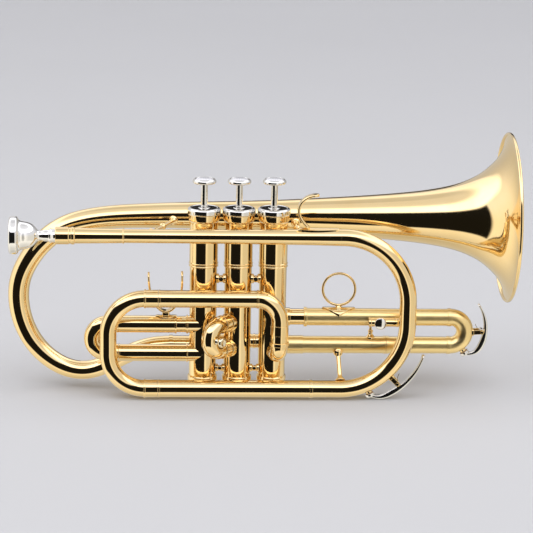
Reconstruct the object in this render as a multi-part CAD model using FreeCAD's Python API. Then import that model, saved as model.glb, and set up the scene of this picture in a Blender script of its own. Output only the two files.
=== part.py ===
import FreeCAD, Part
import math
import os

# Three-valve cornet with a hand-drawn bell, built as separate pieces.
# Frame: millimetres, +X along the bell towards its mouth, +Z towards the finger
# buttons, +Y towards the player's left hand side of the bell.
# Origin: centre of the bell mouth, on the front plane of the rim.

V = FreeCAD.Vector

# ---------------------------------------------------------------- dimensions
# planes (Y) in which the separate runs of tubing lie
Y_LEAD = -20.0          # leadpipe, front bow and main tuning slide
Y_BELL = 26.0           # bell axis
Y_S1 = -3.6             # first valve slide
Y_S3 = 1.5              # third valve slide
Y_TAIL = 9.5            # bell tail where it enters the first valve

# tubing
R_OUT = 6.20            # outer slide tubes, outside radius
R_BORE_OUT = 5.875      # outer slide tubes, inside radius
R_LEG = 5.85            # inner slide legs, outside radius
R_BORE = 5.45           # bore radius of legs and crooks
R_CROOK = 6.12          # crooks, outside radius

# valves
V_X = (-222.8, -198.0, -173.1)     # axes of valves 1, 2, 3
R_CAS = 9.80            # casing outside radius
R_CAS_UP = 10.15        # upper sleeve of the casing
R_CAS_IN = 8.48         # casing bore
R_PIST = 8.45           # piston
Z_CAS_BOT = -116.0
Z_CAS_TOP = 7.0
Z_CAP_TOP = 11.7
Z_BOTTOM = -121.0
R_CAP = 11.9
Z_PIST_TOP = -10.0
Z_PIST_BOT = -97.5
STROKE = 16.5
R_STEM = 2.40
R_BUTTON = 8.35
Z_BUTTON = 28.9
Z_BUTTON_TOP = 33.1

# leadpipe, front bow and main tuning slide
Z_LEAD = -5.2
Z_LOW = -116.5          # lower run: front bow, lower leg of the main slide
Z_UP = -50.5            # upper leg of the main slide
X_MOUTH = -327.3        # mouth of the receiver
X_REC_END = -279.2
X_BOW_START = -126.8    # leadpipe meets the front bow
BOW_R = 47.5            # front bow corner radius (centreline)
X_BOW = -124.95         # corner centres of the front bow
X_FB_END = -146.5       # front bow meets the lower outer slide tube
X_MS = -254.7           # mouths of the outer tubes of the main slide
CROOK_R = 25.9
X_CROOK = -264.4        # corner centres of the main slide crook
X_ELBOW = -185.3
ELBOW_R = 16.4
X_STUB = -168.7

# first slide
Z1U, Z1L = -73.4, -94.7
X1_OUT = -283.1
X1_BEND = -291.2
# second slide
Z2U, Z2L = -71.2, -90.0
S2_ANGLE = 44.0         # from -Y towards -X, seen from above
L2_OUT = 17.4           # mouths of its outer tubes, from the valve axis
L2_BEND = 19.6          # start of the bend
# third slide
Z3U, Z3L = -68.8, -89.6
X3_SLEEVE = -150.2
X3_OUT = -90.6
X3_BEND = -43.5

# bell
BELL = [(-231.0, 9.70), (-207.2, 10.35), (-180.4, 11.15), (-160.3, 12.05), (-138.6, 13.25),
        (-124.1, 14.10), (-109.6, 15.05), (-95.1, 16.15), (-80.0, 17.50), (-65.4, 19.10),
        (-50.8, 21.45), (-43.5, 23.05), (-36.2, 25.20), (-28.9, 28.10), (-21.6, 32.00),
        (-14.3, 37.70), (-9.5, 42.40), (-5.0, 48.90), (-2.9, 53.60), (-1.9, 57.40), (-1.6, 60.0)]
R_RIM = 61.9
BELL_WALL = 0.6
# centreline of the bell bow with its outside radius: x, y, z, r
BOW = [(-231.0, 26.0, 0.0, 9.70), (-250.0, 25.6, -0.1, 9.25), (-270.0, 24.6, -0.4, 8.80),
       (-290.0, 22.9, -1.1, 8.35), (-306.0, 21.3, -2.9, 8.00), (-321.0, 19.8, -7.2, 7.85),
       (-336.0, 18.2, -17.0, 7.75), (-347.5, 17.0, -31.0, 7.65), (-354.2, 16.0, -46.5, 7.55),
       (-355.2, 15.0, -61.0, 7.50), (-351.8, 13.6, -77.0, 7.35), (-344.6, 12.3, -91.0, 7.20),
       (-333.0, 11.0, -103.0, 7.00), (-319.0, 10.2, -110.4, 6.85), (-306.0, 9.7, -111.6, 6.75),
       (-293.0, 9.5, -107.6, 6.65), (-281.0, 9.5, -101.5, 6.60), (-270.0, 9.5, -96.6, 6.55),
       (-258.0, 9.5, -93.2, 6.50), (-247.0, 9.5, -92.2, 6.45)]
Z_TAIL = -92.2
X_TAIL = -236.0

os.makedirs("parts", exist_ok=True)
EX, EY, EZ = V(1, 0, 0), V(0, 1, 0), V(0, 0, 1)


# ------------------------------------------------------------------- helpers
def save(name, shape):
    # the pieces are laid out from the plane of the valves; the origin is at the bell mouth
    shape = shape.copy()
    shape.translate(V(0, -Y_BELL, 0))
    if hasattr(shape, "removeSplitter"):
        try:
            s = shape.removeSplitter()
            if s.isValid() and len(s.Solids) == len(shape.Solids):
                shape = s
        except Exception:
            pass
    shape.exportStep("parts/" + name + ".step")
    print(name, "solids", len(shape.Solids), "valid", shape.isValid(), "vol", round(shape.Volume, 2))


def cyl(r, p, d, h):
    return Part.makeCylinder(r, h, V(*p), V(*d))


def ring(ro, ri, p, d, h):
    return cyl(ro, p, d, h).cut(cyl(ri, p, d, h))


def fuse(first, *rest):
    return first.fuse(list(rest)) if rest else first


def annulus(p, n, ro, ri):
    f = Part.Face(Part.Wire(Part.makeCircle(ro, V(*p), V(*n))))
    if ri > 0:
        f = f.cut(Part.Face(Part.Wire(Part.makeCircle(ri, V(*p), V(*n)))))
    return f


def pipe(segments, ro, ri):
    """A tube made of straight and circular runs that follow on from each other."""
    out = []
    for s in segments:
        if s[0] == "L":
            a, b = V(*s[1]), V(*s[2])
            out.append(annulus(a, b.sub(a), ro, ri).extrude(b.sub(a)))
        else:
            _, start, tangent, centre, axis, angle = s
            out.append(annulus(start, tangent, ro, ri).revolve(V(*centre), V(*axis), angle))
    solids = []
    for o in out:
        solids.extend(o.Solids)
    return fuse(*solids) if len(solids) > 1 else solids[0]


def lathe(profile, p, d):
    """Closed (distance along the axis, radius) outline turned about the axis d through p."""
    pts = [V(a, r, 0) for a, r in profile]
    face = Part.Face(Part.makePolygon(pts + [pts[0]]))
    s = face.revolve(V(0, 0, 0), V(1, 0, 0), 360)
    s = s.Solids[0] if s.Solids else s
    rot = FreeCAD.Rotation(V(1, 0, 0), V(*d))
    s.Placement = FreeCAD.Placement(V(*p), rot)
    return s


def spline(points, **kw):
    c = Part.BSplineCurve()
    c.interpolate([V(*p) for p in points], **kw)
    return c


def strip(points, thick, width, y, n=40):
    """Bent strip: a band of constant thickness along a curve in an X-Z plane, 'width' wide in Y."""
    c = spline([(x, 0, z) for x, z in points])
    t0, t1 = c.FirstParameter, c.LastParameter
    left, right = [], []
    for i in range(n + 1):
        t = t0 + (t1 - t0) * i / n
        p = c.value(t)
        d = c.tangent(t)[0]
        q = V(-d.z, 0, d.x)
        th = thick(i / n) if callable(thick) else thick
        left.append(p.add(q.multiply(th / 2)))
        q = V(-d.z, 0, d.x)
        right.append(p.sub(q.multiply(th / 2)))
    a = Part.BSplineCurve(); a.interpolate(left)
    b = Part.BSplineCurve(); b.interpolate(right[::-1])
    w = Part.Wire([a.toShape(), Part.makeLine(left[-1], right[-1]), b.toShape(), Part.makeLine(right[0], left[0])])
    f = Part.Face(w)
    f.translate(V(0, y - width / 2, 0))
    return f.extrude(V(0, width, 0))


def torus_arc(centre, normal, major, minor):
    return Part.makeTorus(major, minor, V(*centre), V(*normal))


# ------------------------------------------------- mouthpiece and receiver
# receiver: a short collar, a groove and a long taper that holds the leadpipe
Z0 = Z_LEAD
shank = lambda x: 4.66 - 0.0255 * (x - X_MOUTH)
X_SH_END = -304.5
rec = lathe([(0, shank(X_MOUTH) + 0.02), (22.8, shank(X_SH_END) + 0.02), (26.0, 4.40), (X_REC_END - X_MOUTH, 4.40),
             (X_REC_END - X_MOUTH, 4.98), (13.6, 5.62), (13.3, 6.15), (12.3, 6.3), (11.3, 6.15), (11.0, 5.8),
             (9.6, 5.8), (9.3, 6.2), (1.0, 6.2), (0.3, 6.0), (0, 5.6)],
            (X_MOUTH, Y_LEAD, Z0), (1, 0, 0))
save("mouthpiece_receiver", rec)

# mouthpiece: rim, cup, throat, backbore and shank in one turned piece
MP0 = -359.5
mp = lathe([(0.9, 9.2), (0.25, 10.2), (0, 11.2), (0.25, 12.3), (0.9, 13.0), (1.9, 13.3), (5.0, 13.3), (5.6, 13.0),
            (6.1, 12.3), (6.6, 11.3), (7.6, 10.45), (9.2, 9.95), (11.5, 9.55), (13.5, 9.05), (15.5, 8.2), (17.2, 7.0),
            (18.5, 5.7), (19.4, 4.6), (20.2, 3.8), (21.2, 3.45), (22.6, 3.55), (24.0, 3.9), (25.2, 4.1), (27.8, 4.35), (28.4, 5.0), (29.2, 5.0), (29.6, 4.7),
            (32.2, shank(X_MOUTH)), (X_SH_END - MP0, shank(X_SH_END)),
            (X_SH_END - MP0, 3.75), (45.0, 3.2), (34.0, 2.3), (27.0, 1.9), (18.0, 1.9), (14.5, 3.2), (10.0, 6.6),
            (5.5, 8.1), (2.2, 8.6)],
           (MP0, Y_LEAD, Z0), (1, 0, 0))
save("mouthpiece", mp)

# leadpipe: slim taper from the receiver to the front bow
L0 = -301.2
lead = lathe([(0, 4.40), (X_REC_END - L0, 4.40), (X_REC_END - L0 + 0.01, 4.93), (-208.4 - L0, 5.12), (-148.6 - L0, 5.62),
              (X_BOW_START - L0, 6.12), (X_BOW_START - L0, R_BORE), (-148.6 - L0, 5.1), (-208.4 - L0, 4.6), (X_REC_END - L0, 4.1),
              (0, 4.02)],
             (L0, Y_LEAD, Z0), (1, 0, 0))
save("leadpipe", lead)

# ------------------------------------------------------------- front bow
zc_u, zc_l = Z_LEAD - BOW_R, Z_LOW + BOW_R
fb_path = [("L", (X_BOW_START, Y_LEAD, Z_LEAD), (X_BOW, Y_LEAD, Z_LEAD)),
           ("A", (X_BOW, Y_LEAD, Z_LEAD), (1, 0, 0), (X_BOW, Y_LEAD, zc_u), (0, 1, 0), 90),
           ("L", (X_BOW + BOW_R, Y_LEAD, zc_u), (X_BOW + BOW_R, Y_LEAD, zc_l)),
           ("A", (X_BOW + BOW_R, Y_LEAD, zc_l), (0, 0, -1), (X_BOW, Y_LEAD, zc_l), (0, 1, 0), 90),
           ("L", (X_BOW, Y_LEAD, Z_LOW), (X_FB_END, Y_LEAD, Z_LOW))]
fb = pipe(fb_path, R_CROOK, R_BORE)
fb_solid = pipe(fb_path, R_CROOK, 0)
save("front_bow", fb)
save("front_bow_ferrule", ring(6.55, R_CROOK, (X_FB_END + 0.02, Y_LEAD, Z_LOW), (1, 0, 0), 2.0))

# ------------------------------------------------- main tuning slide, fixed tubes
lo = ring(R_OUT, R_BORE_OUT, (X_MS, Y_LEAD, Z_LOW), (1, 0, 0), X_FB_END - X_MS)
lo = lo.fuse(ring(6.55, R_OUT - 0.05, (X_MS, Y_LEAD, Z_LOW), (1, 0, 0), 1.2))
lo = lo.fuse(ring(6.05, R_BORE, (X_FB_END - 2.0, Y_LEAD, Z_LOW), (1, 0, 0), 2.0))
save("main_slide_lower_tube", lo)
up = ring(R_OUT, R_BORE_OUT, (X_MS, Y_LEAD, Z_UP), (1, 0, 0), X_ELBOW - X_MS)
up = up.fuse(ring(6.55, R_OUT - 0.05, (X_MS, Y_LEAD, Z_UP), (1, 0, 0), 1.2))
up = up.fuse(ring(6.05, R_BORE, (X_ELBOW - 1.5, Y_LEAD, Z_UP), (1, 0, 0), 1.5))
save("main_slide_upper_tube", up)

# elbow: from the upper slide tube down and round into the front of valve 3
sd = V(V_X[2] - X_STUB, -Y_LEAD, 0); sd_len = sd.Length; sd.normalize()
Z_E = -84.0
SR = 8.2
z_port = Z_E - SR
axis_e = sd.cross(V(0, 0, -1))          # turns the downward run towards the casing
axis_e = V(0, 0, -1).cross(sd)
elbow_path = [("L", (X_ELBOW, Y_LEAD, Z_UP), (X_STUB - ELBOW_R, Y_LEAD, Z_UP)),
              ("A", (X_STUB - ELBOW_R, Y_LEAD, Z_UP), (1, 0, 0), (X_STUB - ELBOW_R, Y_LEAD, Z_UP - ELBOW_R), (0, 1, 0), 90),
              ("L", (X_STUB, Y_LEAD, Z_UP - ELBOW_R), (X_STUB, Y_LEAD, Z_E)),
              ("A", (X_STUB, Y_LEAD, Z_E), (0, 0, -1), (X_STUB + sd.x * SR, Y_LEAD + sd.y * SR, Z_E), tuple(axis_e), 90),
              ("L", (X_STUB + sd.x * SR, Y_LEAD + sd.y * SR, z_port),
               (X_STUB + sd.x * (sd_len - 2), Y_LEAD + sd.y * (sd_len - 2), z_port))]
eo = pipe(elbow_path, R_CROOK, R_BORE)
cas_cut = cyl(R_CAS, (V_X[2], 0, Z_CAS_BOT), (0, 0, 1), Z_CAS_TOP - Z_CAS_BOT)
elbow = eo.cut(cas_cut)
elbow = fuse(elbow, ring(6.6, R_CROOK - 0.05, (X_ELBOW, Y_LEAD, Z_UP), (1, 0, 0), 1.3),
             ring(6.5, R_CROOK - 0.05, (X_STUB, Y_LEAD, -76.4), (0, 0, 1), 7.1),
             ring(6.9, R_CROOK - 0.05, (X_STUB, Y_LEAD, -85.4 + 1.0), (0, 0, 1), 2.6))
elbow = max(elbow.Solids, key=lambda s: s.Volume)
save("third_valve_elbow", elbow)
elbow_bore = pipe(elbow_path[-1:], R_BORE, 0)

# ------------------------------------------------------------- valve casings
s2 = V(-math.sin(math.radians(S2_ANGLE)), -math.cos(math.radians(S2_ANGLE)), 0)


def casing(i):
    x = V_X[i]
    body = fuse(cyl(R_CAS, (x, 0, Z_CAS_BOT), (0, 0, 1), Z_CAS_TOP - Z_CAS_BOT),
                cyl(R_CAS_UP, (x, 0, -29.6), (0, 0, 1), 29.6 + 1.0),
                lathe([(0, 0), (0, 10.2), (1.0, 11.0), (5.0, 11.0), (5.4, 10.8), (5.4, 0)], (x, 0, 1.6), (0, 0, 1)),
                cyl(10.55, (x, 0, -28.9), (0, 0, 1), 0.9), cyl(10.55, (x, 0, -31.0), (0, 0, 1), 0.9))
    body = body.cut(cyl(R_CAS_IN, (x, 0, Z_CAS_BOT - 1), (0, 0, 1), 200))
    return body


cas = [casing(i) for i in range(3)]
# ports
for z in (Z1U, Z1L):
    cas[0] = cas[0].cut(cyl(5.0, (V_X[0], Y_S1 - 0.3, z), (-1, 0, 0), 20))
cas[0] = cas[0].cut(Part.makeSphere(5.2, V(V_X[0] - 3.4, Y_TAIL - 1.5, Z_TAIL)))
for z in (Z2U, Z2L):
    cas[1] = cas[1].cut(cyl(R_BORE, (V_X[1], 0, z), tuple(s2), 20))
for z in (Z3U, Z3L):
    cas[2] = cas[2].cut(cyl(R_BORE, (V_X[2], Y_S3, z), (1, 0, 0), 20))
cas[2] = cas[2].cut(elbow_bore)
Z_CROSS = -88.0
Y_CROSS = 4.6
for i in (0, 1):
    xc = (V_X[i] + V_X[i + 1]) / 2
    for k, s in ((i, 1), (i + 1, -1)):
        cas[k] = cas[k].cut(cyl(4.6, (xc, Y_CROSS, Z_CROSS), (-s, 0, 0), 11.5))
for i in range(3):
    save("valve_%d_casing" % (i + 1), max(cas[i].Solids, key=lambda s: s.Volume))

# crossover tubes and stays between neighbouring casings
cross = []
blk = [cyl(R_CAS, (x, 0, Z_CAS_BOT), (0, 0, 1), 140) for x in V_X]
for i in (0, 1):
    xc = (V_X[i] + V_X[i + 1]) / 2
    t = cyl(5.1, (xc - 11.5, Y_CROSS, Z_CROSS), (1, 0, 0), 23).cut(cyl(4.6, (xc - 12, Y_CROSS, Z_CROSS), (1, 0, 0), 24))
    a = t.cut(blk[i].fuse(blk[i + 1]))
    cross.append(max(a.Solids, key=lambda s: s.Volume))
    for zc, h in ((-39.4, 7.2), (-105.6, 5.4)):
        b = Part.makeBox(14, 5.0, h, V(xc - 7, -6.0, zc - h / 2)).fuse(cyl(h / 2, (xc, -6.0, zc), (0, 1, 0), 5.0))
        b = b.cut(blk[i].fuse(blk[i + 1]))
        cross.append(max(b.Solids, key=lambda s: s.Volume))
save("valve_crossovers", Part.makeCompound(cross))

# caps
caps, bots = [], []
for x in V_X:
    caps.append(lathe([(0, 10.8), (0, 11.4), (0.5, 11.9), (2.9, 11.9), (4.0, 11.4), (4.55, 10.3), (4.7, 9.4), (4.7, 2.7),
                       (2.6, 2.7), (2.6, 8.3), (0, 8.3)], (x, 0, Z_CAS_TOP), (0, 0, 1)))
    bots.append(lathe([(0, 1.5), (0, 8.6), (0.5, 9.8), (1.6, 10.5), (3.2, 10.7), (9.3, 10.7), (9.6, 10.4), (9.6, R_CAS),
                       (5.0, R_CAS), (5.0, 8.3), (1.5, 8.3), (1.5, 1.5)], (x, 0, Z_BOTTOM), (0, 0, 1)))
save("valve_top_caps", Part.makeCompound(caps))
save("valve_bottom_caps", Part.makeCompound(bots))

# pistons with their cross passages, stems with finger buttons, pearl inlays
pass_dir = [(180.0, 210.0), (180.0, 226.0), (0.0, 258.0)]
for i, x in enumerate(V_X):
    p = cyl(R_PIST, (x, 0, Z_PIST_BOT), (0, 0, 1), Z_PIST_TOP - Z_PIST_BOT)
    p = p.cut(ring(R_PIST + 1, R_PIST - 0.8, (x, 0, -34.0), (0, 0, 1), 12.0))
    p = p.cut(cyl(6.2, (x, 0, Z_PIST_TOP - 12.0), (0, 0, 1), 13.0)).fuse(cyl(3.2, (x, 0, Z_PIST_TOP - 12.5), (0, 0, 1), 12.5))
    for z, a in ((Z_CROSS, pass_dir[i][0]), (Z_CROSS + 14.0, pass_dir[i][1]), (Z_CROSS + 28.0, pass_dir[i][0] + 60)):
        a = math.radians(a)
        p = p.cut(cyl(4.9, (x - 20 * math.cos(a), -20 * math.sin(a), z), (math.cos(a), math.sin(a), 0), 40))
    save("valve_%d_piston" % (i + 1), p.Solids[0])
    b = lathe([(0, 0), (0, R_STEM), (38.25, R_STEM), (38.4, 3.2), (38.55, 5.0), (38.75, 6.8), (39.1, 7.7), (39.6, 8.2), (40.1, 8.35),
               (40.7, 8.33), (41.3, 8.1), (41.8, 7.7), (42.2, 7.2), (42.45, 6.7), (42.45, 6.3), (41.6, 6.3), (41.6, 0)],
              (x, 0, Z_PIST_TOP), (0, 0, 1))
    save("valve_%d_button" % (i + 1), b)
    dome = lathe([(0, 0), (0, 6.28), (0.5, 6.28), (0.95, 5.3), (1.25, 3.8), (1.42, 2.0), (1.5, 0)], (x, 0, Z_PIST_TOP + 41.6), (0, 0, 1))
    save("valve_%d_pearl" % (i + 1), dome)
    # return spring between piston and bottom cap
    z0, z1, wr, hr = Z_BOTTOM + 1.5, Z_PIST_BOT, 0.38, 6.9
    h = Part.makeHelix((z1 - z0 - 2 * wr - 0.1) / 6.0, z1 - z0 - 2 * wr - 0.1, hr)
    prof = Part.Wire(Part.makeCircle(wr, V(hr, 0, 0), V(0, 1, 0)))
    sp = Part.Wire(h.Edges).makePipeShell([prof], True, True)
    sp.translate(V(x, 0, z0 + wr + 0.05))
    save("valve_%d_spring" % (i + 1), sp)

# ------------------------------------------------------------- bell
outer = [V(x, r, 0) for x, r in BELL]
co = Part.BSplineCurve(); co.interpolate(outer)
inner = []
for i in range(61):
    t = co.FirstParameter + (co.LastParameter - co.FirstParameter) * i / 60
    p = co.value(t); d = co.tangent(t)[0]
    inner.append(V(p.x + d.y * BELL_WALL, p.y - d.x * BELL_WALL, 0))
inner[0] = V(BELL[0][0], BELL[0][1] - BELL_WALL, 0)
inner[-1] = V(BELL[-1][0] + 1.0, BELL[-1][1] - 0.05, 0)
ci = Part.BSplineCurve(); ci.interpolate([inner[0]] + inner[2:-2:2] + [inner[-1]])
A = outer[-1]; B = inner[-1]
rim_pts = [A, V(-2.35, 60.35, 0), V(-2.6, 60.9, 0), V(-2.45, 61.45, 0), V(-2.0, 61.8, 0), V(-1.3, R_RIM, 0), V(-0.55, 61.8, 0),
           V(-0.1, 61.5, 0), V(0, 61.1, 0), V(0, 60.2, 0), B]
w = Part.Wire([co.toShape()] + Part.makePolygon(rim_pts).Edges + [ci.toShape()] + [Part.makeLine(inner[0], outer[0])])
bell = Part.Face(w).revolve(V(0, 0, 0), V(1, 0, 0), 360).Solids[0]
bell.translate(V(0, Y_BELL, 0))
save("bell", bell)

# bell bow: tapered tube from the back of the bell down and round to valve 1
cb = spline([(a, b, c) for a, b, c, r in BOW], Tangents=[V(-1, 0, 0)] + [V(0, 0, 0)] * 18 + [V(1, 0, 0)],
            TangentFlags=[True] + [False] * 18 + [True]) if False else None
cb = Part.BSplineCurve()
cb.interpolate(Points=[V(a, b, c) for a, b, c, r in BOW], InitialTangent=V(-1, 0, 0), FinalTangent=V(1, 0, 0))
par = [cb.parameter(V(a, b, c)) for a, b, c, r in BOW]


def bow_sections(off):
    ws = []
    for k, (a, b, c, r) in enumerate(BOW):
        d = cb.tangent(par[k])[0]
        if k == 0: d = V(-1, 0, 0)
        if k == len(BOW) - 1: d = V(1, 0, 0)
        ws.append((V(a, b, c), d, r - off))
    return ws


def loft(sec):
    # circle start points are carried along the path so that the skin doesn't twist
    ref = V(0, 1, 0)
    wires = []
    for p, d, r in sec:
        ref = ref.sub(V(d).multiply(ref.dot(d))); ref.normalize()
        c = Part.Circle(p, d, r)
        m = FreeCAD.Rotation(c.XAxis, ref)
        c2 = Part.Circle(); c2.Radius = r
        pl = FreeCAD.Placement(p, FreeCAD.Rotation(ref, d.cross(ref), d, "XYZ"))
        e = Part.makeCircle(r); e.Placement = pl
        wires.append(Part.Wire(e))
    return Part.makeLoft(wires, True, False)


bow_o, bow_i = loft(bow_sections(0.0)), loft(bow_sections(0.6))
bow = bow_o.cut(bow_i)
bow = max(bow.Solids, key=lambda s: s.Volume)
save("bell_bow", bow)
# tail knuckle: short tube from the bow into the back of valve 1's casing
kn = cyl(6.45, (-247.0, Y_TAIL, Z_TAIL), (1, 0, 0), 20.0).fuse(Part.makeSphere(6.45, V(-227.0, Y_TAIL, Z_TAIL)))
kn = kn.fuse(cyl(6.95, (-246.9, Y_TAIL, Z_TAIL), (1, 0, 0), 2.6))
kb = cyl(5.6, (-248.0, Y_TAIL, Z_TAIL), (1, 0, 0), 21.0).fuse(Part.makeSphere(5.6, V(-227.0, Y_TAIL, Z_TAIL)))
kn = kn.cut(kb).cut(cyl(R_CAS, (V_X[0], 0, Z_CAS_BOT), (0, 0, 1), 140))
kn = max(kn.Solids, key=lambda s: s.Volume)
save("bell_tail_knuckle", kn)

# ------------------------------------------------------------- main slide
zu, zl = Z_UP - CROOK_R, Z_LOW + CROOK_R
xq = X_MS - 0.25
crook = pipe([("L", (xq, Y_LEAD, Z_UP), (X_CROOK, Y_LEAD, Z_UP)),
              ("A", (X_CROOK, Y_LEAD, Z_UP), (-1, 0, 0), (X_CROOK, Y_LEAD, zu), (0, -1, 0), 90),
              ("L", (X_CROOK - CROOK_R, Y_LEAD, zu), (X_CROOK - CROOK_R, Y_LEAD, zl)),
              ("A", (X_CROOK - CROOK_R, Y_LEAD, zl), (0, 0, -1), (X_CROOK, Y_LEAD, zl), (0, -1, 0), 90),
              ("L", (X_CROOK, Y_LEAD, Z_LOW), (xq, Y_LEAD, Z_LOW))], R_CROOK - 0.12, R_BORE)
for z in (Z_UP, Z_LOW):
    crook = fuse(crook, ring(6.35, R_CROOK - 0.2, (X_CROOK - 0.3, Y_LEAD, z), (1, 0, 0), xq - X_CROOK + 0.3),
                 ring(6.75, R_CROOK - 0.2, (X_CROOK - 0.6, Y_LEAD, z), (1, 0, 0), 1.3))
save("main_slide_crook", max(crook.Solids, key=lambda s: s.Volume))
X_ML_U = -189.5
X_ML_L = -180.0
save("main_slide_legs", Part.makeCompound([
    ring(R_LEG, R_BORE, (xq, Y_LEAD, Z_UP), (1, 0, 0), X_ML_U - xq),
    ring(R_LEG, R_BORE, (xq, Y_LEAD, Z_LOW), (1, 0, 0), X_ML_L - xq)]))

# ------------------------------------------------------------- first slide
kn1 = cyl(R_CAS, (V_X[0], 0, Z_CAS_BOT), (0, 0, 1), 140)
keep1 = V_X[0] - 4.0
leg = ring(R_LEG, R_BORE, (-281.0, Y_S1, Z1U), (1, 0, 0), keep1 + 281.0)
leg = leg.fuse(ring(R_OUT, R_LEG - 0.05, (-235.2, Y_S1, Z1U), (1, 0, 0), keep1 + 235.2)).cut(kn1)
save("first_slide_fixed_leg", max(leg.Solids, key=lambda s: s.Volume))
t = ring(R_OUT, R_BORE_OUT, (X1_OUT, Y_S1, Z1L), (1, 0, 0), keep1 - X1_OUT)
t = t.fuse(ring(6.5, R_OUT - 0.05, (X1_OUT, Y_S1, Z1L), (1, 0, 0), 1.0)).cut(kn1)
save("first_slide_lower_tube", max(t.Solids, key=lambda s: s.Volume))
R1 = (Z1U - Z1L) / 2
x1q = X1_OUT - 0.25
c1 = pipe([("L", (x1q, Y_S1, Z1U), (X1_BEND, Y_S1, Z1U)),
           ("A", (X1_BEND, Y_S1, Z1U), (-1, 0, 0), (X1_BEND, Y_S1, Z1U - R1), (0, -1, 0), 180),
           ("L", (X1_BEND, Y_S1, Z1L), (x1q, Y_S1, Z1L))], R_CROOK - 0.05, R_BORE)
c1 = fuse(c1, ring(6.3, R_CROOK - 0.1, (X1_BEND + 3.0, Y_S1, Z1U), (1, 0, 0), x1q - X1_BEND - 3.0),
          ring(6.45, R_CROOK - 0.1, (X1_BEND + 3.0, Y_S1, Z1L), (1, 0, 0), x1q - X1_BEND - 3.0))
save("first_slide_crook", max(c1.Solids, key=lambda s: s.Volume))
sl = ring(R_OUT, R_BORE_OUT, (x1q, Y_S1, Z1U), (1, 0, 0), -241.7 - x1q)
sl = sl.fuse(ring(6.75, R_OUT - 0.05, (-243.0, Y_S1, Z1U), (1, 0, 0), 1.3))
save("first_slide_sleeve", sl)
save("first_slide_leg", ring(R_LEG, R_BORE, (x1q, Y_S1, Z1L), (1, 0, 0), -236.5 - x1q))
# thumb saddle: a U standing on the sleeve
sad = strip([(-261.9, -35.4), (-261.6, -42.0), (-260.6, -49.5), (-257.8, -57.2), (-253.4, -62.3), (-249.4, -63.8),
             (-245.4, -62.3), (-241.2, -57.2), (-238.7, -49.5), (-238.0, -42.0), (-238.1, -34.6)], 1.9, 8.0, Y_S1)
foot = Part.makeBox(14.6, 8.6, 4.6, V(-256.8, Y_S1 - 4.3, Z1U + 4.0)).fuse(Part.makeBox(8.4, 7.0, 3.2, V(-253.6, Y_S1 - 3.5, -66.6)))
foot = foot.cut(cyl(R_OUT, (-290, Y_S1, Z1U), (1, 0, 0), 60))
foot = foot.cut(Part.makeBox(40, 20, 20, V(-270, Y_S1 - 10, Z1U - 12)))
sad = sad.fuse(foot)
save("first_slide_saddle", max(sad.Solids, key=lambda s: s.Volume))

# ------------------------------------------------------------- second slide
kn2 = cyl(R_CAS, (V_X[1], 0, Z_CAS_BOT), (0, 0, 1), 140)


def p2(d, z, off=0.0):
    n = V(-s2.y, s2.x, 0)
    q = V(V_X[1], 0, z).add(V(s2).multiply(d)).add(V(n).multiply(off))
    return (q.x, q.y, q.z)


outs = []
for z in (Z2U, Z2L):
    o = ring(R_OUT, R_BORE_OUT, p2(4.0, z), tuple(s2), L2_OUT - 4.0)
    o = o.fuse(ring(6.6, R_OUT - 0.05, p2(L2_OUT - 1.2, z), tuple(s2), 1.2)).fuse(ring(6.75, R_OUT - 0.05, p2(6.0, z), tuple(s2), 5.2)).cut(kn2)
    outs.append(max(o.Solids, key=lambda s: s.Volume))
save("second_slide_tubes", Part.makeCompound(outs))
R2 = (Z2U - Z2L) / 2
n2 = V(-s2.y, s2.x, 0)
ax2 = s2.cross(V(0, 0, -1))
c2 = pipe([("L", p2(L2_OUT + 0.2, Z2U), p2(L2_BEND, Z2U)),
           ("A", p2(L2_BEND, Z2U), tuple(s2), p2(L2_BEND, Z2U - R2), tuple(ax2), 180),
           ("L", p2(L2_BEND, Z2L), p2(L2_OUT + 0.2, Z2L))], R_CROOK, R_BORE)
save("second_slide_crook", max(c2.Solids, key=lambda s: s.Volume))
save("second_slide_legs", Part.makeCompound([ring(R_LEG, R_BORE, p2(10.6, z), tuple(s2), L2_OUT + 0.2 - 10.6) for z in (Z2U, Z2L)]))
# pull knob standing on the side of the bend
kd = V(-n2.x, -n2.y, 0) if n2.x < 0 else n2
kp = V(*p2(L2_BEND + R2 - 1.2, (Z2U + Z2L) / 2)).add(V(kd).multiply(5.2))
knob = lathe([(0, 0), (0, 2.6), (1.6, 2.2), (2.4, 1.7), (3.4, 1.9), (4.0, 3.3), (5.2, 3.7), (6.4, 3.4), (7.0, 2.2), (6.7, 0)],
             tuple(kp), tuple(kd))
knob = knob.cut(c2).cut(Part.makeTorus(R2, R_CROOK, V(*p2(L2_BEND, Z2U - R2)), n2))
save("second_slide_knob", max(knob.Solids, key=lambda s: s.Volume))

# ------------------------------------------------------------- third slide
kn3 = cyl(R_CAS, (V_X[2], 0, Z_CAS_BOT), (0, 0, 1), 140)
keep3 = V_X[2] + 4.0
leg3 = ring(R_LEG, R_BORE, (keep3, Y_S3, Z3U), (1, 0, 0), -92.5 - keep3)
leg3 = leg3.fuse(ring(6.5, R_LEG - 0.05, (keep3, Y_S3, Z3U), (1, 0, 0), -160.2 - keep3)).cut(kn3)
save("third_slide_fixed_leg", max(leg3.Solids, key=lambda s: s.Volume))
t3 = ring(R_OUT, R_BORE_OUT, (keep3, Y_S3, Z3L), (1, 0, 0), X3_OUT - keep3)
t3 = t3.fuse(ring(6.6, R_OUT - 0.05, (keep3, Y_S3, Z3L), (1, 0, 0), -150.3 - keep3)).fuse(
    ring(6.6, R_OUT - 0.05, (X3_OUT - 1.2, Y_S3, Z3L), (1, 0, 0), 1.2)).cut(kn3)
save("third_slide_lower_tube", max(t3.Solids, key=lambda s: s.Volume))
x3q = X3_OUT + 0.25
R3 = (Z3U - Z3L) / 2
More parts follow.
